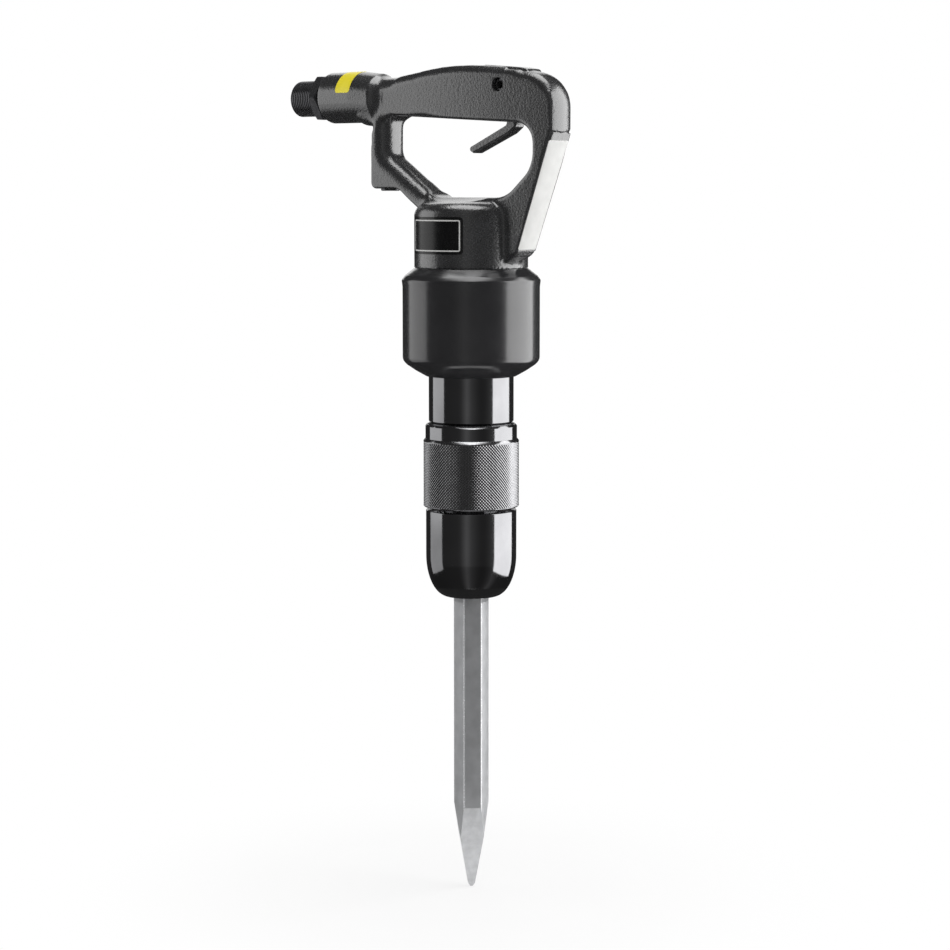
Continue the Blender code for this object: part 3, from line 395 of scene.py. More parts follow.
def spreadValue(px, pz, spots):
    total, weight = 0.0, 0.0
    for x, z, value in spots:
        w = 1.0 / ((px - x) ** 2 + (pz - z) ** 2 + 4.0) ** 2
        total, weight = total + w * value, weight + w
    return total / weight


# distance in millimetres to the casting's surface, less than nothing inside it;
# factors a little below 1 keep its slope near 1 where the shape isn't straight
def castingField(x, y, z):
    inside, outside = -9.0, 9.0  # far from the surface, where a feature has no say
    outer = outlineDistance(x, z, turnLeft(arcLine(casting["outline"], 4.0)))
    inner = -outlineDistance(x, z, turnLeft(arcLine(casting["opening"], 4.0)))
    # the flat sides are a little crowned, the front more than the back, and the spine thins towards its foot
    bulge = np.where(y < 0, *casting["bulge"])
    y = np.abs(y)
    start, reach = casting["bulgeFrom"]
    thin = bulge * (np.maximum(x - start, 0) / reach) ** 2
    thin = thin + np.where(x > casting["thinFrom"], np.interp(-z, *casting["spineThin"]), 0)
    slab = y - casting["half"] + thin
    body = roundBoth(outer - spreadValue(x, z, casting["outerCut"]), slab, spreadValue(x, z, casting["outerRound"]))
    body = np.maximum(body, outer)
    # crowned outer side of the spine, bevels beside the slanted face below it
    crown = outer + casting["crown"] - np.sqrt(casting["crown"] ** 2 - np.minimum(y, 20) ** 2)
    along, across = casting["bevel"]
    bevel = outer * along + (y - np.interp(-z, *casting["slantHalf"])) * across
    spine = np.where(z > casting["slantTop"], crown * 0.93, bevel)
    body = np.maximum(body, np.where(x > casting["spine"], spine, inside))
    # the slanted face ends in a half moon, hollow below
    moonX, moonZ, wide, rise, slope = casting["moon"]
    moon = moonZ + rise * (1 - np.sqrt(np.maximum(1 - (y / wide) ** 2, 0))) - (moonX - x) * slope
    body = np.maximum(body, np.where(x > casting["spine"] - 4, (moon - z) * 0.9, inside))
    body = np.maximum(body, roundBoth(inner, slab, spreadValue(x, z, casting["innerRound"])))
    # the saddle over the collar slopes off to both sides
    middle, reach, flat, growth = casting["saddle"]
    ease = flat + growth * np.minimum(((x - middle) / reach) ** 2, 1.5)
    along, across = casting["saddleLean"]
    body = np.maximum(body, np.where(z < -50, inner * along + (y - ease) * across, inside))
    # low pad on the grip's back
    middle, reach, wide, rise, corner = casting["pad"]
    pad = roundBoth(np.maximum(np.abs(x - middle) - reach, y - wide), outer - rise, corner)
    body = np.minimum(body, np.where((z > 5) & (outer > -3), pad, outside))
    body = np.maximum(body, z - casting["top"])
    # barrel collar with a round shoulder
    radius, top, low, corner = casting["collar"]
    body = softJoin(body, roundBoth(np.hypot(x, y) - radius, z - top, corner), casting["blend"])
    body = np.maximum(body, low - z)
    # inlet boss: round with a chamfered mouth, then a step down to the leg
    around = np.hypot(y, z + np.interp(x, casting["bossX"], casting["bossDroop"]))
    shape = np.interp(x, casting["bossX"], casting["bossRadius"])
    tube = np.maximum((around - shape) * 0.85, np.maximum(casting["bossX"][1] - x, x - casting["bossX"][-1]))
    body = softJoin(body, tube, casting["bossBlend"])
    # inlet bore and stem bore, then leg passage, plug hole and barrel socket
    bore = np.interp(x, casting["boreX"], casting["boreRadius"]) - np.hypot(y, z)
    body = np.maximum(body, np.where(x < casting["boreEnd"], bore, inside))
    for middle, radius, top in casting["passages"]:
        body = np.maximum(body, np.minimum(radius - np.hypot(x - middle, y), top - z))
    # lever slot and pin hole
    left, right, under, roof, wide = casting["slot"]
    gap = np.maximum(np.maximum(left - x, x - right), np.maximum(np.maximum(under - z, z - roof), y - wide))
    body = np.maximum(body, -gap)
    eye = np.hypot(x - casting["pin"][0], z - casting["pin"][1])
    return np.maximum(body, np.interp(y, casting["pinMouth"], casting["pinHole"]) - eye)


# one vertex for each cell that the surface crosses, one quad for each crossed grid edge
def netSurface(field, low, cell):
    inside = field < 0
    near = [field[i:i - 1 or None, j:j - 1 or None, k:k - 1 or None] for i in (0, 1) for j in (0, 1) for k in (0, 1)]
    signs = sum((f < 0).astype(np.int8) for f in near)
    cells = np.argwhere((signs > 0) & (signs < 8))
    ids = np.full(signs.shape, -1, np.int64)
    ids[tuple(cells.T)] = np.arange(len(cells))
    corner = np.stack([f[tuple(cells.T)] for f in near], axis=1)
    offsets = np.array([(i, j, k) for i in (0, 1) for j in (0, 1) for k in (0, 1)], float)
    total = np.zeros((len(cells), 3))
    count = np.zeros(len(cells))
    for a in range(8):
        for b in range(a + 1, 8):
            if np.abs(offsets[a] - offsets[b]).sum() != 1:
                continue
            crosses = (corner[:, a] < 0) != (corner[:, b] < 0)
            t = corner[:, a] / np.where(crosses, corner[:, a] - corner[:, b], 1)
            total += np.where(crosses[:, None], offsets[a] + (offsets[b] - offsets[a]) * t[:, None], 0)
            count += crosses
    points = cells + total / count[:, None]
    quads = []
    for axis in range(3):
        p, q = (axis + 1) % 3, (axis + 2) % 3
        lower = [slice(None)] * 3
        upper = [slice(None)] * 3
        lower[axis], upper[axis] = slice(None, -1), slice(1, None)
        change = inside[tuple(lower)] != inside[tuple(upper)]
        spots = np.argwhere(change)
        for side in (p, q):
            spots = spots[(spots[:, side] > 0) & (spots[:, side] < field.shape[side] - 1)]
        ring = []
        for dp, dq in ((1, 1), (0, 1), (0, 0), (1, 0)):
            at = spots.copy()
            at[:, p] -= dp
            at[:, q] -= dq
            ring.append(ids[tuple(at.T)])
        ring = np.stack(ring, axis=1)
        leaving = inside[tuple(lower)][tuple(spots.T)]
        quads.append(np.where(leaving[:, None], ring, ring[:, ::-1]))
    return np.array(low) + points * cell, np.concatenate(quads)


# draws the net's points onto the true surface along the field's slope
def drawOn(points, rounds=2, step=0.05):
    for _ in range(rounds):
        x, y, z = points.T
        here = castingField(x, y, z)
        ahead = (castingField(x + step, y, z), castingField(x, y + step, z), castingField(x, y, z + step))
        slope = (np.stack(ahead, axis=1) - here[:, None]) / step
        move = here[:, None] * slope / np.maximum(np.sum(slope ** 2, axis=1), 0.25)[:, None]
        points = points - np.clip(move, -0.4, 0.4)
    return points


def makeHandle():
    cell = casting["cell"]
    x, y, z = [np.arange(a, b + cell, cell) for a, b in zip(casting["low"], casting["high"])]
    field = castingField(x[:, None, None], y[None, :, None], z[None, None, :])
    points, quads = netSurface(field, (x[0], y[0], z[0]), cell)
    piece = makePiece("handleCasting", drawOn(points), quads, finishes["cast"], 50.0)
    print("handle casting:", len(quads), "quads")
    return hand(piece, "handle", "tool_body")


makeHandle()


# Muffler shell, open in a narrow ring round the neck
muffler = ((29.3, -121.3, 0.3), (40.1, -121.3, 1.0), (46.7, -126.6, 4.0), (49.1, -129.8, 2.2), (48.5, -134.6, 8.0),
           (48.5, -186.3, 6.0), (45.4, -189.4, 4.0), (39.1, -193.6, 3.0), (31.9, -197.6, 0.4), (30.8, -197.6, 0.2),
           (30.8, -194.6, 0.5), (42.1, -186.0, 3.0), (45.1, -182.0, 3.0), (45.1, -133.0, 3.0), (37.0, -125.3, 1.0),
           (29.3, -125.3, 0.3))
hand(turnedRing("mufflerShell", muffler, finishes["powder"]), "exhaust_muffler", "tool_body")

# Barrel: the neck shows between the muffler and the sleeve
barrel = ((17.0, -108.0, 0.3), (29.0, -108.0, 0.8), (29.0, -125.6, 0.3), (36.0, -125.6, 0.5), (36.0, -130.6, 0.5),
          (30.1, -130.6, 0.6), (30.1, -229.3, 0.2), (29.0, -230.5, 0.1), (24.0, -230.5, 0.2), (24.0, -250.2, 0.8),
          (17.0, -250.2, 0.4))
hand(turnedRing("barrelNeck", barrel, finishes["chrome"]), "barrel", "tool_body")

# Nose cap: straight wall, domed foot, bore with a floor
nose = {"radius": 32.2, "top": -292.9, "dome": -325.5, "foot": -355.0, "tip": 17.0, "mouth": 14.0,
        "bore": (20.1, -332.0)}
bore, bed = nose["bore"]
noseCorners = [(nose["mouth"], bed, 0.2), (bore, bed, 0.2), (bore, nose["top"], 0.2),
               (nose["radius"], nose["top"], 0.7)]
for k in range(25):
    a = math.pi / 2 * k / 24
    noseCorners.append((nose["tip"] + (nose["radius"] - nose["tip"]) * math.cos(a),
                        nose["dome"] - (nose["dome"] - nose["foot"]) * math.sin(a), 0))
noseCorners.append((nose["mouth"], nose["foot"], 0.6))
hand(turnedRing("noseCap", noseCorners, finishes["chrome"]), "nose_cap", "tool_body")
print("turned shells ready")


# a Geometry Nodes tree with named inputs; gives the inputs' sockets and identifiers by name
def newTree(name, sizes):
    tree = bpy.data.node_groups.new(name, "GeometryNodeTree")
    tree.interface.new_socket("Geometry", in_out="INPUT", socket_type="NodeSocketGeometry")
    ids = {}
    for label, value in sizes.items():
        kind = "NodeSocketInt" if isinstance(value, int) else "NodeSocketFloat"
        ids[label] = tree.interface.new_socket(label, in_out="INPUT", socket_type=kind).identifier
    tree.interface.new_socket("Geometry", in_out="OUTPUT", socket_type="NodeSocketGeometry")
    return tree, addNode(tree, "NodeGroupInput").outputs, ids


# ends a tree, runs it on an empty mesh and keeps the result as a plain mesh
def growPiece(name, tree, geometry, material, ids, sizes):
    solid = addNode(tree, "GeometryNodeRealizeInstances", {"Geometry": geometry}).outputs["Geometry"]
    painted = addNode(tree, "GeometryNodeSetMaterial", {"Geometry": solid, "Material": material}).outputs["Geometry"]
    addNode(tree, "NodeGroupOutput", {"Geometry": painted})
    piece = bpy.data.objects.new(name, bpy.data.meshes.new(name))
    scene.collection.objects.link(piece)
    step = piece.modifiers.new("grow", "NODES")
    step.node_group = tree
    for label, value in sizes.items():
        step[ids[label]] = value
    return settle(piece)


# Diamond knurl: small pyramids in staggered rows round the drum
knurl = {"Starts": 94, "Rows": 40, "Radius": 33.28 * mm, "Row pitch": 1.14 * mm, "Foot": -289.2 * mm,
         "Height": 0.66 * mm}


def makeKnurl(sizes):
    tree, size, ids = newTree("diamondKnurl", sizes)
    count = addNode(tree, "ShaderNodeMath", {0: size["Starts"], 1: size["Rows"]}, operation="MULTIPLY").outputs[0]
    index = addNode(tree, "GeometryNodeInputIndex").outputs[0]
    middle = addNode(tree, "ShaderNodeMath", {0: index, 1: 0.5}, operation="ADD").outputs[0]
    turns = addNode(tree, "ShaderNodeMath", {0: middle, 1: size["Starts"]}, operation="DIVIDE").outputs[0]
    row = addNode(tree, "ShaderNodeMath", {0: turns}, operation="FLOOR").outputs[0]
    odd = addNode(tree, "ShaderNodeMath", {0: row, 1: 2.0}, operation="MODULO").outputs[0]
    half = addNode(tree, "ShaderNodeMath", {0: odd, 1: 0.5}, operation="MULTIPLY").outputs[0]
    shift = addNode(tree, "ShaderNodeMath", {0: half, 1: size["Starts"]}, operation="DIVIDE").outputs[0]
    place = addNode(tree, "ShaderNodeMath", {0: turns, 1: shift}, operation="ADD").outputs[0]
    angle = addNode(tree, "ShaderNodeMath", {0: place, 1: math.tau}, operation="MULTIPLY").outputs[0]
    cosine = addNode(tree, "ShaderNodeMath", {0: angle}, operation="COSINE").outputs[0]
    sine = addNode(tree, "ShaderNodeMath", {0: angle}, operation="SINE").outputs[0]
    out = addNode(tree, "ShaderNodeCombineXYZ", {"X": cosine, "Y": sine}).outputs[0]
    ring = addNode(tree, "ShaderNodeVectorMath", {0: out, "Scale": size["Radius"]}, operation="SCALE").outputs[0]
    rise = addNode(tree, "ShaderNodeMath", {0: row, 1: size["Row pitch"]}, operation="MULTIPLY").outputs[0]
    level = addNode(tree, "ShaderNodeMath", {0: rise, 1: size["Foot"]}, operation="ADD").outputs[0]
    lift = addNode(tree, "ShaderNodeCombineXYZ", {"Z": level}).outputs[0]
    spot = addNode(tree, "ShaderNodeVectorMath", {0: ring, 1: lift}, operation="ADD").outputs[0]
    points = addNode(tree, "GeometryNodePoints", {"Count": count, "Position": spot}).outputs[0]
    tooth = addNode(tree, "GeometryNodeMeshCone", {"Vertices": 4, "Side Segments": 1, "Radius Top": 0.1,
                                                   "Radius Bottom": 1.0, "Depth": 1.0}, fill_type="NGON").outputs[0]
    girth = addNode(tree, "ShaderNodeMath", {0: size["Radius"], 1: math.pi}, operation="MULTIPLY").outputs[0]
    wide = addNode(tree, "ShaderNodeMath", {0: girth, 1: size["Starts"]}, operation="DIVIDE").outputs[0]
    across = addNode(tree, "ShaderNodeCombineXYZ", {"X": wide, "Y": size["Row pitch"], "Z": size["Height"]}).outputs[0]
    tooth = addNode(tree, "GeometryNodeTransform", {"Geometry": tooth, "Scale": across}).outputs[0]
    turn = addNode(tree, "FunctionNodeAxesToRotation", {"Primary Axis": out, "Secondary Axis": (0.0, 0.0, 1.0)},
                   primary_axis="Z", secondary_axis="Y").outputs[0]
    teeth = addNode(tree, "GeometryNodeInstanceOnPoints", {"Points": points, "Instance": tooth,
                                                           "Rotation": turn}).outputs[0]
    return growPiece("knurlTeeth", tree, teeth, finishes["knurl"], ids, sizes)


# Sleeve: plain ring above, knurled drum below, cone for the balls inside
sleeve = ((30.5, -231.6, 0.2), (31.5, -231.6, 0.05), (32.5, -232.9, 0.05), (32.5, -241.7, 0.05), (32.6, -241.7, 0.02),
          (34.0, -243.5, 0.05), (34.0, -243.7, 0.05), (33.28, -243.9, 0.1), (33.28, -289.2, 0.1), (34.0, -289.5, 0.1),
          (34.0, -289.8, 0.15), (33.2, -290.5, 0.2), (24.375, -290.5, 0.3), (20.3125, -277.5, 0.2), (30.5, -277.5, 0.2))
sleevePiece = turnedRing("knurledSleeve", sleeve, finishes["chrome"])
sleevePiece.data.materials.append(finishes["knurl"])
for face in sleevePiece.data.polygons:  # the drum starts below the plain ring
    face.material_index = int(face.center.z < -0.2417)
softShade(sleevePiece, 24.0)
teeth = softShade(makeKnurl(knurl), 89.0)  # worn flanks
print("knurl faces:", len(teeth.data.polygons))
joinPieces(sleevePiece, teeth)
hand(sleevePiece, "knurled_sleeve", "sleeve")

# Inlet nipple: hexagon between two threaded ends
nipple = {"hex": 31.2, "hexSpan": (-144.5, -137.3), "root": 11.8, "chamfer": (15.8, 18.3, 1.5),
          "core": ((9.2, -168.5, 0.3), (11.4, -168.5, 0.2), (11.9, -167.7, 0.2), (11.9, -137.6, 0.2),
                   (13.1, -136.9, 0.2), (13.1, -119.5, 0.2), (11.9, -118.0, 0.2), (9.2, -118.0, 0.3))}
thread = {"Radius": 12.45 * mm, "Pitch": 1.814 * mm, "Turns": 12.1, "Depth": 0.7 * mm, "Start": -167.0 * mm}


# helical ridge with a flat crest, wound along X
def makeThread(sizes):
    tree, size, ids = newTree("pipeThread", sizes)
    height = addNode(tree, "ShaderNodeMath", {0: size["Pitch"], 1: size["Turns"]}, operation="MULTIPLY").outputs[0]
    spiral = addNode(tree, "GeometryNodeCurveSpiral", {"Resolution": 48, "Rotations": size["Turns"], "Height": height,
                                                       "Start Radius": size["Radius"],
                                                       "End Radius": size["Radius"]}).outputs[0]
    spiral = addNode(tree, "GeometryNodeSetCurveNormal", {"Curve": spiral}, mode="Z_UP").outputs[0]
    tooth = addNode(tree, "GeometryNodeCurvePrimitiveCircle", {"Resolution": 6,
                                                               "Radius": size["Depth"]}).outputs["Curve"]
    tooth = addNode(tree, "GeometryNodeTransform", {"Geometry": tooth, "Rotation": (0.0, 0.0, math.pi / 6)}).outputs[0]
    ridge = addNode(tree, "GeometryNodeCurveToMesh", {"Curve": spiral, "Profile Curve": tooth,
                                                      "Fill Caps": True}).outputs[0]
    start = addNode(tree, "ShaderNodeCombineXYZ", {"X": size["Start"]}).outputs[0]
    ridge = addNode(tree, "GeometryNodeTransform", {"Geometry": ridge, "Translation": start,
                                                    "Rotation": (0.0, math.pi / 2, 0.0)}).outputs[0]
    return growPiece("threadRidge", tree, ridge, finishes["dark"], ids, sizes)


def makeNipple():
    piece = turnedRing("inletNipple", nipple["core"], finishes["dark"], 72, alongX)
    points = [(x, a, b) for radius in (nipple["hex"] / math.sqrt(3), nipple["root"]) for x in nipple["hexSpan"]
              for a, b in circleLine(0, 0, radius, 6)]
    faces = []
    for k in range(6):
        m = (k + 1) % 6
        faces += [(k, m, m + 6, k + 6), (k + 12, k + 18, m + 18, m + 12)]
        faces += [(k, k + 12, m + 12, m), (k + 6, m + 6, m + 18, k + 18)]
    nut = facesOut(makePiece("nut", points, faces, finishes["dark"]))
    start, end = nipple["hexSpan"]
    inner, outer, run = nipple["chamfer"]
    cone = ((5.0, start, 0), (inner, start, 0.2), (outer, start + run, 0.2), (outer, end - run, 0.2), (inner, end, 0.2),
            (5.0, end, 0))
    carve(nut, "INTERSECT", turnedRing("chamfer", cone, finishes["dark"], 72, alongX))
    joinPieces(piece, nut, makeThread(thread))
    softShade(piece, 28.0)
    return hand(piece, "inlet_nipple", "tool_body")


makeNipple()

# Throttle lever: bent strap below the grip, eye on the pin, pad at the valve stem
lever = {"half": 5.2, "edge": 1.2, "hole": 4.6,
         "line": ((-8.2, 8.2, 6.0), (8.2, 8.2, 7.5), (10.6, -13.4, 10.0), (10.6, -28.9, 3.0), (4.2, -33.4, 6.0),
                  (-28.2, -46.8, 1.5), (-33.9, -43.6, 1.9), (-29.4, -41.6, 1.5), (2.6, -27.4, 3.0), (1.6, -16.4, 6.0),
                  (-7.8, -11.9, 2.0), (-7.8, -1.4, 3.0))}


def makeLever():
    x, z = casting["pin"]
    line = arcLine(lever["line"], 7.0) + (x, z)
    points, faces = plateForm(line, [circleLine(x, z, lever["hole"])], lever["half"], lever["edge"])
    piece = facesOut(makePiece("leverStrap", points, faces, finishes["cast"], 40.0))
    return hand(piece, "throttle_lever", "lever")


makeLever()

# Slotted spring pin through the grip
rollPin = {"outer": 4.2, "inner": 2.6, "half": 9.0, "slit": 16.0, "edge": 0.35}


def makePin():
    x, z = casting["pin"]
    arc = [math.radians(rollPin["slit"] + (360 - 2 * rollPin["slit"]) * k / 40) for k in range(41)]
    ring = [(x + rollPin["outer"] * math.cos(a), z + rollPin["outer"] * math.sin(a)) for a in arc]
    ring += [(x + rollPin["inner"] * math.cos(a), z + rollPin["inner"] * math.sin(a)) for a in reversed(arc)]
    points, faces = plateForm(np.array(ring), [], rollPin["half"], rollPin["edge"], 2)
    piece = facesOut(makePiece("rollPin", points, faces, finishes["dark"], 40.0))
    return hand(piece, "lever_pin", "tool_body")


makePin()

# Screw plug below the leg, with a hexagon socket
plug = {"x": -78.0, "socket": 3.4, "socketSpan": (-72.0, -63.0),
        "line": ((0.02, -55.9, 0), (6.8, -55.9, 0.8), (6.8, -67.5, 0.9), (0.02, -67.5, 0))}


def makePlug():
    piece = turnedRing("passagePlug", plug["line"], finishes["dark"], 48)
    points = [(x, y, z) for z in plug["socketSpan"] for x, y in circleLine(0, 0, plug["socket"], 6)]
    faces = [tuple(range(6))[::-1], tuple(range(6, 12))] + [(k, (k + 1) % 6, (k + 1) % 6 + 6, k + 6) for k in range(6)]
    carve(piece, "DIFFERENCE", facesOut(makePiece("hexKey", points, faces, finishes["dark"])))
    piece.data.transform(Matrix.Translation((plug["x"] * mm, 0, 0)))
    softShade(piece, 30.0)
    return hand(piece, "passage_plug", "tool_body")


makePlug()

# Chisel: rolled hexagonal bar, turned groove, ground four-sided point
chisel = {"flats": 22.0, "corner": 1.3, "turn": -43.2, "top": -238.5, "tip": -568.0, "head": (0.88, 1.5),
          "groove": (10.2, -276.5, -294.5), "clear": 18.0,
          # where each pair of ground faces starts: height and half width of the front and back, then of the sides
          "point": (((-508.0, 11.0), (-504.0, 12.7)), ((-565.3, 2.5), (-565.3, 2.5)), ((-568.0, 1.0), (-568.0, 1.0)))}


def makeChisel():
    heading = math.radians(chisel["turn"] + 30)
    reach = chisel["flats"] / math.sqrt(3)
    corners = [(x, y, chisel["corner"]) for x, y in circleLine(0, 0, reach, 6, heading)]
    section = turnLeft(arcLine(corners, 15.0))
    narrow, drop = chisel["head"]
    shoulder = chisel["top"] - drop
    levels = [(narrow, chisel["top"]), (1.0, shoulder)]
    levels += [(1.0, shoulder - (shoulder - chisel["tip"]) * k / 12) for k in range(1, 13)]
    points = [(x * s, y * s, z) for s, z in levels for x, y in section]
    n = len(section)
    faces = [tuple(range(n)), tuple(range((len(levels) - 1) * n, len(levels) * n))[::-1]]
    for i in range(len(levels) - 1):
        faces += [(i * n + k, (i + 1) * n + k, (i + 1) * n + (k + 1) % n, i * n + (k + 1) % n) for k in range(n)]
    piece = facesOut(makePiece("chiselBar", points, faces, finishes["bar"]))
    piece.data.materials.append(finishes["edge"])
    for face in piece.data.polygons:  # the faces between two flats carry the painted corner highlight
        bend = (math.degrees(math.atan2(face.normal.y, face.normal.x)) - chisel["turn"]) % 60
        face.material_index = int(abs(face.normal.z) < 0.05 and 5 < bend < 55)
    depth, high, low = chisel["groove"]
    groove = ((depth, high, 1.2), (chisel["clear"], high, 0), (chisel["clear"], low, 0), (depth, low, 1.2))
    carve(piece, "DIFFERENCE", turnedRing("grooveCut", groove, finishes["bar"], 64))
    a = math.radians(chisel["turn"])
    for upper, lower in zip(chisel["point"], chisel["point"][1:]):
        points = []
        for z in (chisel["tip"] - 0.4, chisel["top"] + 5.0):
            front, side = [h1 + (h0 - h1) / (z0 - z1) * (z - z1) for (z0, h0), (z1, h1) in zip(upper, lower)]
            for u, v in ((front, side), (-front, side), (-front, -side), (front, -side)):
                points.append((u * math.cos(a) - v * math.sin(a), u * math.sin(a) + v * math.cos(a), z))
        faces = [(3, 2, 1, 0), (4, 5, 6, 7)] + [(k, (k + 1) % 4, (k + 1) % 4 + 4, k + 4) for k in range(4)]
        carve(piece, "INTERSECT", facesOut(makePiece("taperCut", points, faces, finishes["ground"])))
    softShade(piece, 12.0)
    return hand(piece, "chisel", "bit")


makeChisel()


# Springs, wound as round wire between a given low and high end
def makeSpring(name, turns, coil, wire, low, high, place, node):
    per, around = 40, 12
    points, faces = [], []
    count = int(turns * per)
    for i in range(count + 1):
        a = math.tau * i / per
        h = low + wire + (high - low - 2 * wire) * i / count
        for k in range(around):
            b = math.tau * k / around
            r = coil + wire * math.cos(b)
            points.append((r * math.cos(a), r * math.sin(a), h + wire * math.sin(b)))
    for i in range(count):
        for k in range(around):
            m = (k + 1) % around
            faces.append((i * around + k, i * around + m, (i + 1) * around + m, (i + 1) * around + k))
    faces += [tuple(range(around))[::-1], tuple(range(count * around, (count + 1) * around))]
    piece = facesOut(makePiece(name, place(points), faces, finishes["bright"], 40.0))
    return hand(piece, node, "tool_body")


springs = {"sleeve": (3.0, 25.15, 1.4, -277.2, -257.8), "valve": (3.0, 7.7, 0.7, -117.7, -109.1)}
sleeveSpring = makeSpring("sleeveSpring", *springs["sleeve"], upright, "sleeve_spring")
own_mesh(sleeveSpring)
valveSpring = makeSpring("valveSpring", *springs["valve"], alongX, "valve_spring")
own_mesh(valveSpring)

# Stickers, left blank: a yellow strip over the inlet boss, a white plate on the slanted face,
# a black badge with a thin pale frame on the collar
strip = {"radius": 18.4, "angle": (9.0, 95.0), "span": (-116.1, -102.0), "corner": 2.2, "thick": 0.12}
plate = {"top": (79.69, -33.2), "foot": (51.2, -107.8), "half": (10.2, 9.2), "corner": 1.2}
badge = {"radius": 40.1, "angle": (-37.0, 33.5), "span": (-111.2, -85.4), "corner": 2.6, "thick": 0.1,
         "inset": 2.0, "line": 0.9}


def onBoss(angle, x, radius):
    return x, -radius * math.cos(angle), radius * math.sin(angle)


def onCollar(angle, z, radius):
    return radius * math.sin(angle), -radius * math.cos(angle), z


def stick(name, points, faces, material):
    piece = facesOut(makePiece(name, points, faces, material, 40.0))
    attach(piece, "tool_body")


# thin sheet with round corners, bent round an axis
def bentSheet(name, size, place, material):
    radius, corner = size["radius"], size["corner"]
    start, end = [math.radians(a) * radius for a in size["angle"]]
    ease = [corner * (1 - math.cos(math.pi / 2 * k / 6)) for k in range(7)]
    middle = list(np.linspace(start + corner, end - corner, 41)[1:-1])
    steps = [start + e for e in ease] + middle + [end - e for e in reversed(ease)]
    points, faces = [], []
    for s in steps:
        near = corner - min(s - start, end - s, corner)
        cut = corner - math.sqrt(max(corner ** 2 - near ** 2, 0.0))
        for r in (radius - 0.3, radius + size["thick"]):
            points += [place(s / radius, size["span"][0] + cut, r), place(s / radius, size["span"][1] - cut, r)]
    for c in range(0, 4 * len(steps) - 4, 4):
        faces += [(c + p, c + q, c + q + 4, c + p + 4) for p, q in ((0, 1), (1, 3), (3, 2), (2, 0))]
    last = 4 * len(steps) - 4
    faces += [(0, 1, 3, 2), (last, last + 1, last + 3, last + 2)]
    stick(name, points, faces, material)


# thin line along the sheet's border, printed on it
def bentFrame(name, size, place, material):
    radius = size["radius"]
    start, end = [math.radians(a) * radius for a in size["angle"]]
    low, high = size["span"]
    loops = []
    for inset in (size["inset"], size["inset"] + size["line"]):
        a, b, c, d = start + inset, end - inset, low + inset, high - inset
        turn = 3.4 - inset
        line = arcLine(((a, c, turn), (b, c, turn), (b, d, turn), (a, d, turn)), 15.0)
        ahead = np.roll(line, -1, axis=0)
        share = np.linspace(0, 1, 20, endpoint=False)[:, None]
        loops.append(np.concatenate([p + (q - p) * share for p, q in zip(line, ahead)]))
    levels = (radius - 0.1, radius + size["thick"] + 0.05)
    points = [place(s / radius, v, r) for r in levels for loop in loops for s, v in loop]
    n = len(loops[0])
    faces = []
    for k in range(n):
        m = (k + 1) % n
        for p, q in ((0, n), (n, 3 * n), (3 * n, 2 * n), (2 * n, 0)):
            faces.append((p + k, q + k, q + m, p + m))
    stick(name, points, faces, material)


# flat sheet on the slanted face, a little narrower at its foot
def makePlate():
    (x0, z0), (x1, z1) = plate["top"], plate["foot"]
    along = Vector((x1 - x0, 0, z1 - z0))
    out = Vector((-along.z, 0, along.x)).normalized()
    wide, narrow = plate["half"]
    turn = plate["corner"]
    corners = ((-wide, 0, turn), (wide, 0, turn), (narrow, along.length, turn), (-narrow, along.length, turn))
    points, faces = plateForm(arcLine(corners, 15.0), [], 0.25, 0.1, 2)
    turned = [Vector((x0, x, z0)) + along.normalized() * z + out * (y + 0.05) for x, y, z in points]
    stick("blankPlate", turned, faces, finishes["white"])


bentSheet("yellowStrip", strip, onBoss, finishes["yellow"])
makePlate()
bentSheet("collarBadge", badge, onCollar, finishes["black"])
bentFrame("badgeFrame", badge, onCollar, finishes["white"])
print("small pieces ready")

# CAD nodes that stay, by their finish
kept = {"brass": ("inlet_strainer", "valve_seat", "stem_guide", "front_bush"),
        "bright": ("throttle_valve", "chest_lower", "valve_disc", "chest_upper", "chest_dowel", "piston",
                   "retaining_ball_1", "retaining_ball_2", "retaining_ball_3"),
        "rubber": ("socket_seal", "dust_seal"), "dark": ("retainer_body",)}
for look, names in kept.items():
    for name in names:
        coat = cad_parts[name].data.materials
        coat.clear()
        coat.append(finishes[look])

# Stage: white floor, two tall soft boxes and one overhead, dark cards that only mirrors see
stage = {"camera": (1.1877, -1.3384, -0.0646), "view": (-0.65836, 0.74414, -0.1132), "heading": 41.5, "lens": 95.87,
         "floor": -0.5682, "distance": 1.25,
         # boxes: heading, width in degrees, lowest and highest point, radiance, and the heights where one grows dim
         "right": (92.5, 64.0, (-0.93, 1.1), 2.4),
         "left": (-102.5, 47.0, (-0.82, 0.62), 0.96, (-0.445, -0.385, 0.64)),
         "top": (2.2, 2.0, 1.7), "wall": 1.9, "wallSpan": (-2.2, -0.9, -0.05, 3.6),
         # paper round the foot for the point to mirror, and a flag that hides it from the nose
         "discs": (("footPaper", 140.0, -568.1, 0.8), ("noseFlag", 34.0, -359.0, 0.04))}
# brightness of the dark wall by heading: a pale strip left of the camera, a little spill beside the right box
wallTone = ((-180, 0.03), (-60, 0.045), (-35, 0.05), (-27, 0.065), (-18, 0.13), (-12, 0.18), (-6, 0.15), (0, 0.1),
            (8, 0.075), (16, 0.055), (25, 0.042), (35, 0.042), (45, 0.06), (53, 0.09), (60, 0.14), (80, 0.05),
            (180, 0.03))


def headingVector(degrees):
    a = math.radians(stage["heading"] + degrees)
    return Vector((math.sin(a), -math.cos(a), 0.0))


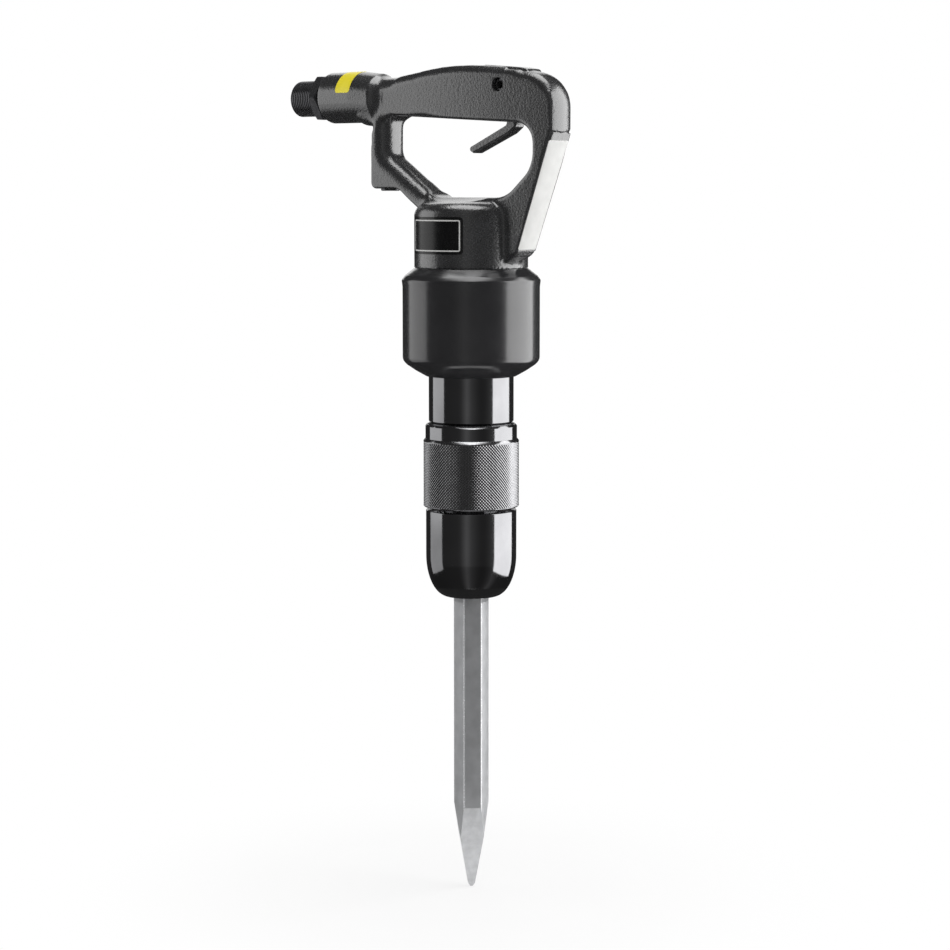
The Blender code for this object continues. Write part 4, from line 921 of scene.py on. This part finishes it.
def hangLamp(name, width, height, radiance, place, turn):
    light = bpy.data.lights.new(name, "AREA")
    light.shape = "RECTANGLE"
    light.size, light.size_y = width, height
    light.energy = radiance * math.pi * width * height
    lamp = bpy.data.objects.new(name, light)
    lamp.location = place
    lamp.rotation_mode = "QUATERNION"
    lamp.rotation_quaternion = turn
    scene.collection.objects.link(lamp)
    return light


# upright box at a heading; fade gives two heights and the share of light below them
def softBox(name, degrees, spread, span, radiance, fade=None):
    width = 2 * stage["distance"] * math.tan(math.radians(spread / 2))
    out = headingVector(degrees)
    place = out * stage["distance"] + Vector((0, 0, (span[0] + span[1]) / 2))
    light = hangLamp(name, width, span[1] - span[0], radiance, place, out.to_track_quat("Z", "Y"))
    if fade:
        light.use_nodes = True
        tree = light.node_tree
        spot = addNode(tree, "ShaderNodeNewGeometry").outputs["Position"]
        level = addNode(tree, "ShaderNodeSeparateXYZ", {0: spot}).outputs["Z"]
        share = addNode(tree, "ShaderNodeMapRange", {"Value": level, "From Min": fade[0], "From Max": fade[1],
                                                     "To Min": fade[2]}).outputs["Result"]
        tree.links.new(share, tree.nodes["Emission"].inputs["Strength"])


softBox("rightBox", *stage["right"])
softBox("leftBox", *stage["left"])
height, width, radiance = stage["top"]
hangLamp("topBox", width, width, radiance, (0, 0, height), (1, 0, 0, 0))


# 1 for what the camera sees, straight or through mirrors and glass
def seenRays(tree):
    path = addNode(tree, "ShaderNodeLightPath").outputs
    mirror = addNode(tree, "ShaderNodeMath", {0: path["Is Glossy Ray"], 1: path["Is Transmission Ray"]},
                     operation="MAXIMUM").outputs[0]
    return addNode(tree, "ShaderNodeMath", {0: path["Is Camera Ray"], 1: mirror}, operation="MAXIMUM").outputs[0]


# world: white for the camera, mirrors and glass, a dim fill for the rest
world = bpy.data.worlds.new("studio")
scene.world = world
world.use_nodes = True
tree = world.node_tree
tree.nodes.clear()
dim = addNode(tree, "ShaderNodeBackground", {"Color": hexColour("#ebebeb"), "Strength": 0.5}).outputs[0]
white = addNode(tree, "ShaderNodeBackground", {"Color": hexColour("#ffffff"), "Strength": 1.0}).outputs[0]
sky = addNode(tree, "ShaderNodeMixShader", {0: seenRays(tree), 1: dim, 2: white}).outputs[0]
addNode(tree, "ShaderNodeOutputWorld", {"Surface": sky})

# floor paper: lit near the foot, so the shadow stays, and white further out
paper = bpy.data.materials.new("whitePaper")
paper.use_nodes = True
tree = paper.node_tree
shader = tree.nodes["Principled BSDF"]
shader.inputs["Base Color"].default_value = hexColour("#f6f6f6")
shader.inputs["Roughness"].default_value = 0.9
place = addNode(tree, "ShaderNodeTexCoord").outputs["Object"]
foot = addNode(tree, "ShaderNodeVectorMath", {0: place, 1: (0.0, 0.0, stage["floor"])}, operation="DISTANCE")
far = addNode(tree, "ShaderNodeMapRange", {"Value": foot.outputs["Value"], "From Min": 0.03, "From Max": 0.3,
                                           "To Min": 0.7, "To Max": 1.0}, interpolation_type="SMOOTHSTEP").outputs[0]
share = addNode(tree, "ShaderNodeMath", {0: seenRays(tree), 1: far}, operation="MULTIPLY").outputs[0]
glow = addNode(tree, "ShaderNodeEmission", {"Color": hexColour("#ffffff"), "Strength": 1.0}).outputs[0]
blend = addNode(tree, "ShaderNodeMixShader", {0: share, 1: shader.outputs[0], 2: glow}).outputs[0]
tree.links.new(blend, tree.nodes["Material Output"].inputs["Surface"])
floorLine = [(x, y, stage["floor"] * 1000) for x, y in circleLine(0, 0, 6000, 64)]
floor = makePiece("studioFloor", floorLine, [tuple(range(64))], paper)
floor.visible_glossy = False

# card whose glow is painted on its points
card = bpy.data.materials.new("greyCard")
card.use_nodes = True
tree = card.node_tree
tone = addNode(tree, "ShaderNodeAttribute", attribute_name="tone").outputs["Fac"]
glow = addNode(tree, "ShaderNodeEmission", {"Strength": tone}).outputs[0]
tree.links.new(glow, tree.nodes["Material Output"].inputs["Surface"])


# shows a card to mirrors alone, with a glow for each of its points
def showMirrors(piece, tones):
    piece.data.attributes.new("tone", "FLOAT", "POINT").data.foreach_set("value", tones)
    for ray in ("camera", "diffuse", "transmission", "shadow", "volume_scatter"):
        setattr(piece, "visible_" + ray, False)
    return piece


# upright curved cards between two headings
def makeCards(name, spans, low, high, share=1.0):
    points, faces, tones = [], [], []
    for start, end in spans:
        first, steps = len(points), round(abs(end - start) / 2)
        for k in range(steps + 1):
            heading = start + (end - start) * k / steps
            out = headingVector(heading) * stage["wall"] * 1000
            points += [(out.x, out.y, low * 1000), (out.x, out.y, high * 1000)]
            tones += [share * np.interp(heading, *zip(*wallTone))] * 2
        faces += [(first + 2 * k, first + 2 * k + 2, first + 2 * k + 3, first + 2 * k + 1) for k in range(steps)]
    return showMirrors(makePiece(name, points, faces, card), tones)


deep, low, middle, high = stage["wallSpan"]
makeCards("darkWall", ((-162, 168),), middle, high)
makeCards("lowWall", ((-180, 180),), low, middle)
makeCards("deepWall", ((-180, 180),), deep, low, 0.7)
lowCard = makeCards("darkFloor", ((-180, 180),), deep, deep, 0.7)
for point in list(lowCard.data.vertices)[1::2]:
    point.co.x = point.co.y = 0.0
for name, radius, level, glow in stage["discs"]:
    line = [(x, y, level) for x, y in circleLine(0, 0, radius, 48)]
    showMirrors(makePiece(name, line, [tuple(range(48))], card), [glow] * 48)

camera = bpy.data.cameras.new("photoCamera")
camera.lens = stage["lens"]
camera.sensor_width = 36.0
camera.clip_start, camera.clip_end = 0.05, 50.0
eye = bpy.data.objects.new("photoCamera", camera)
eye.location = stage["camera"]
eye.rotation_mode = "QUATERNION"
eye.rotation_quaternion = Vector(stage["view"]).to_track_quat("-Z", "Y")
scene.collection.objects.link(eye)
scene.camera = eye
print("stage ready")

bpy.context.view_layer.update()
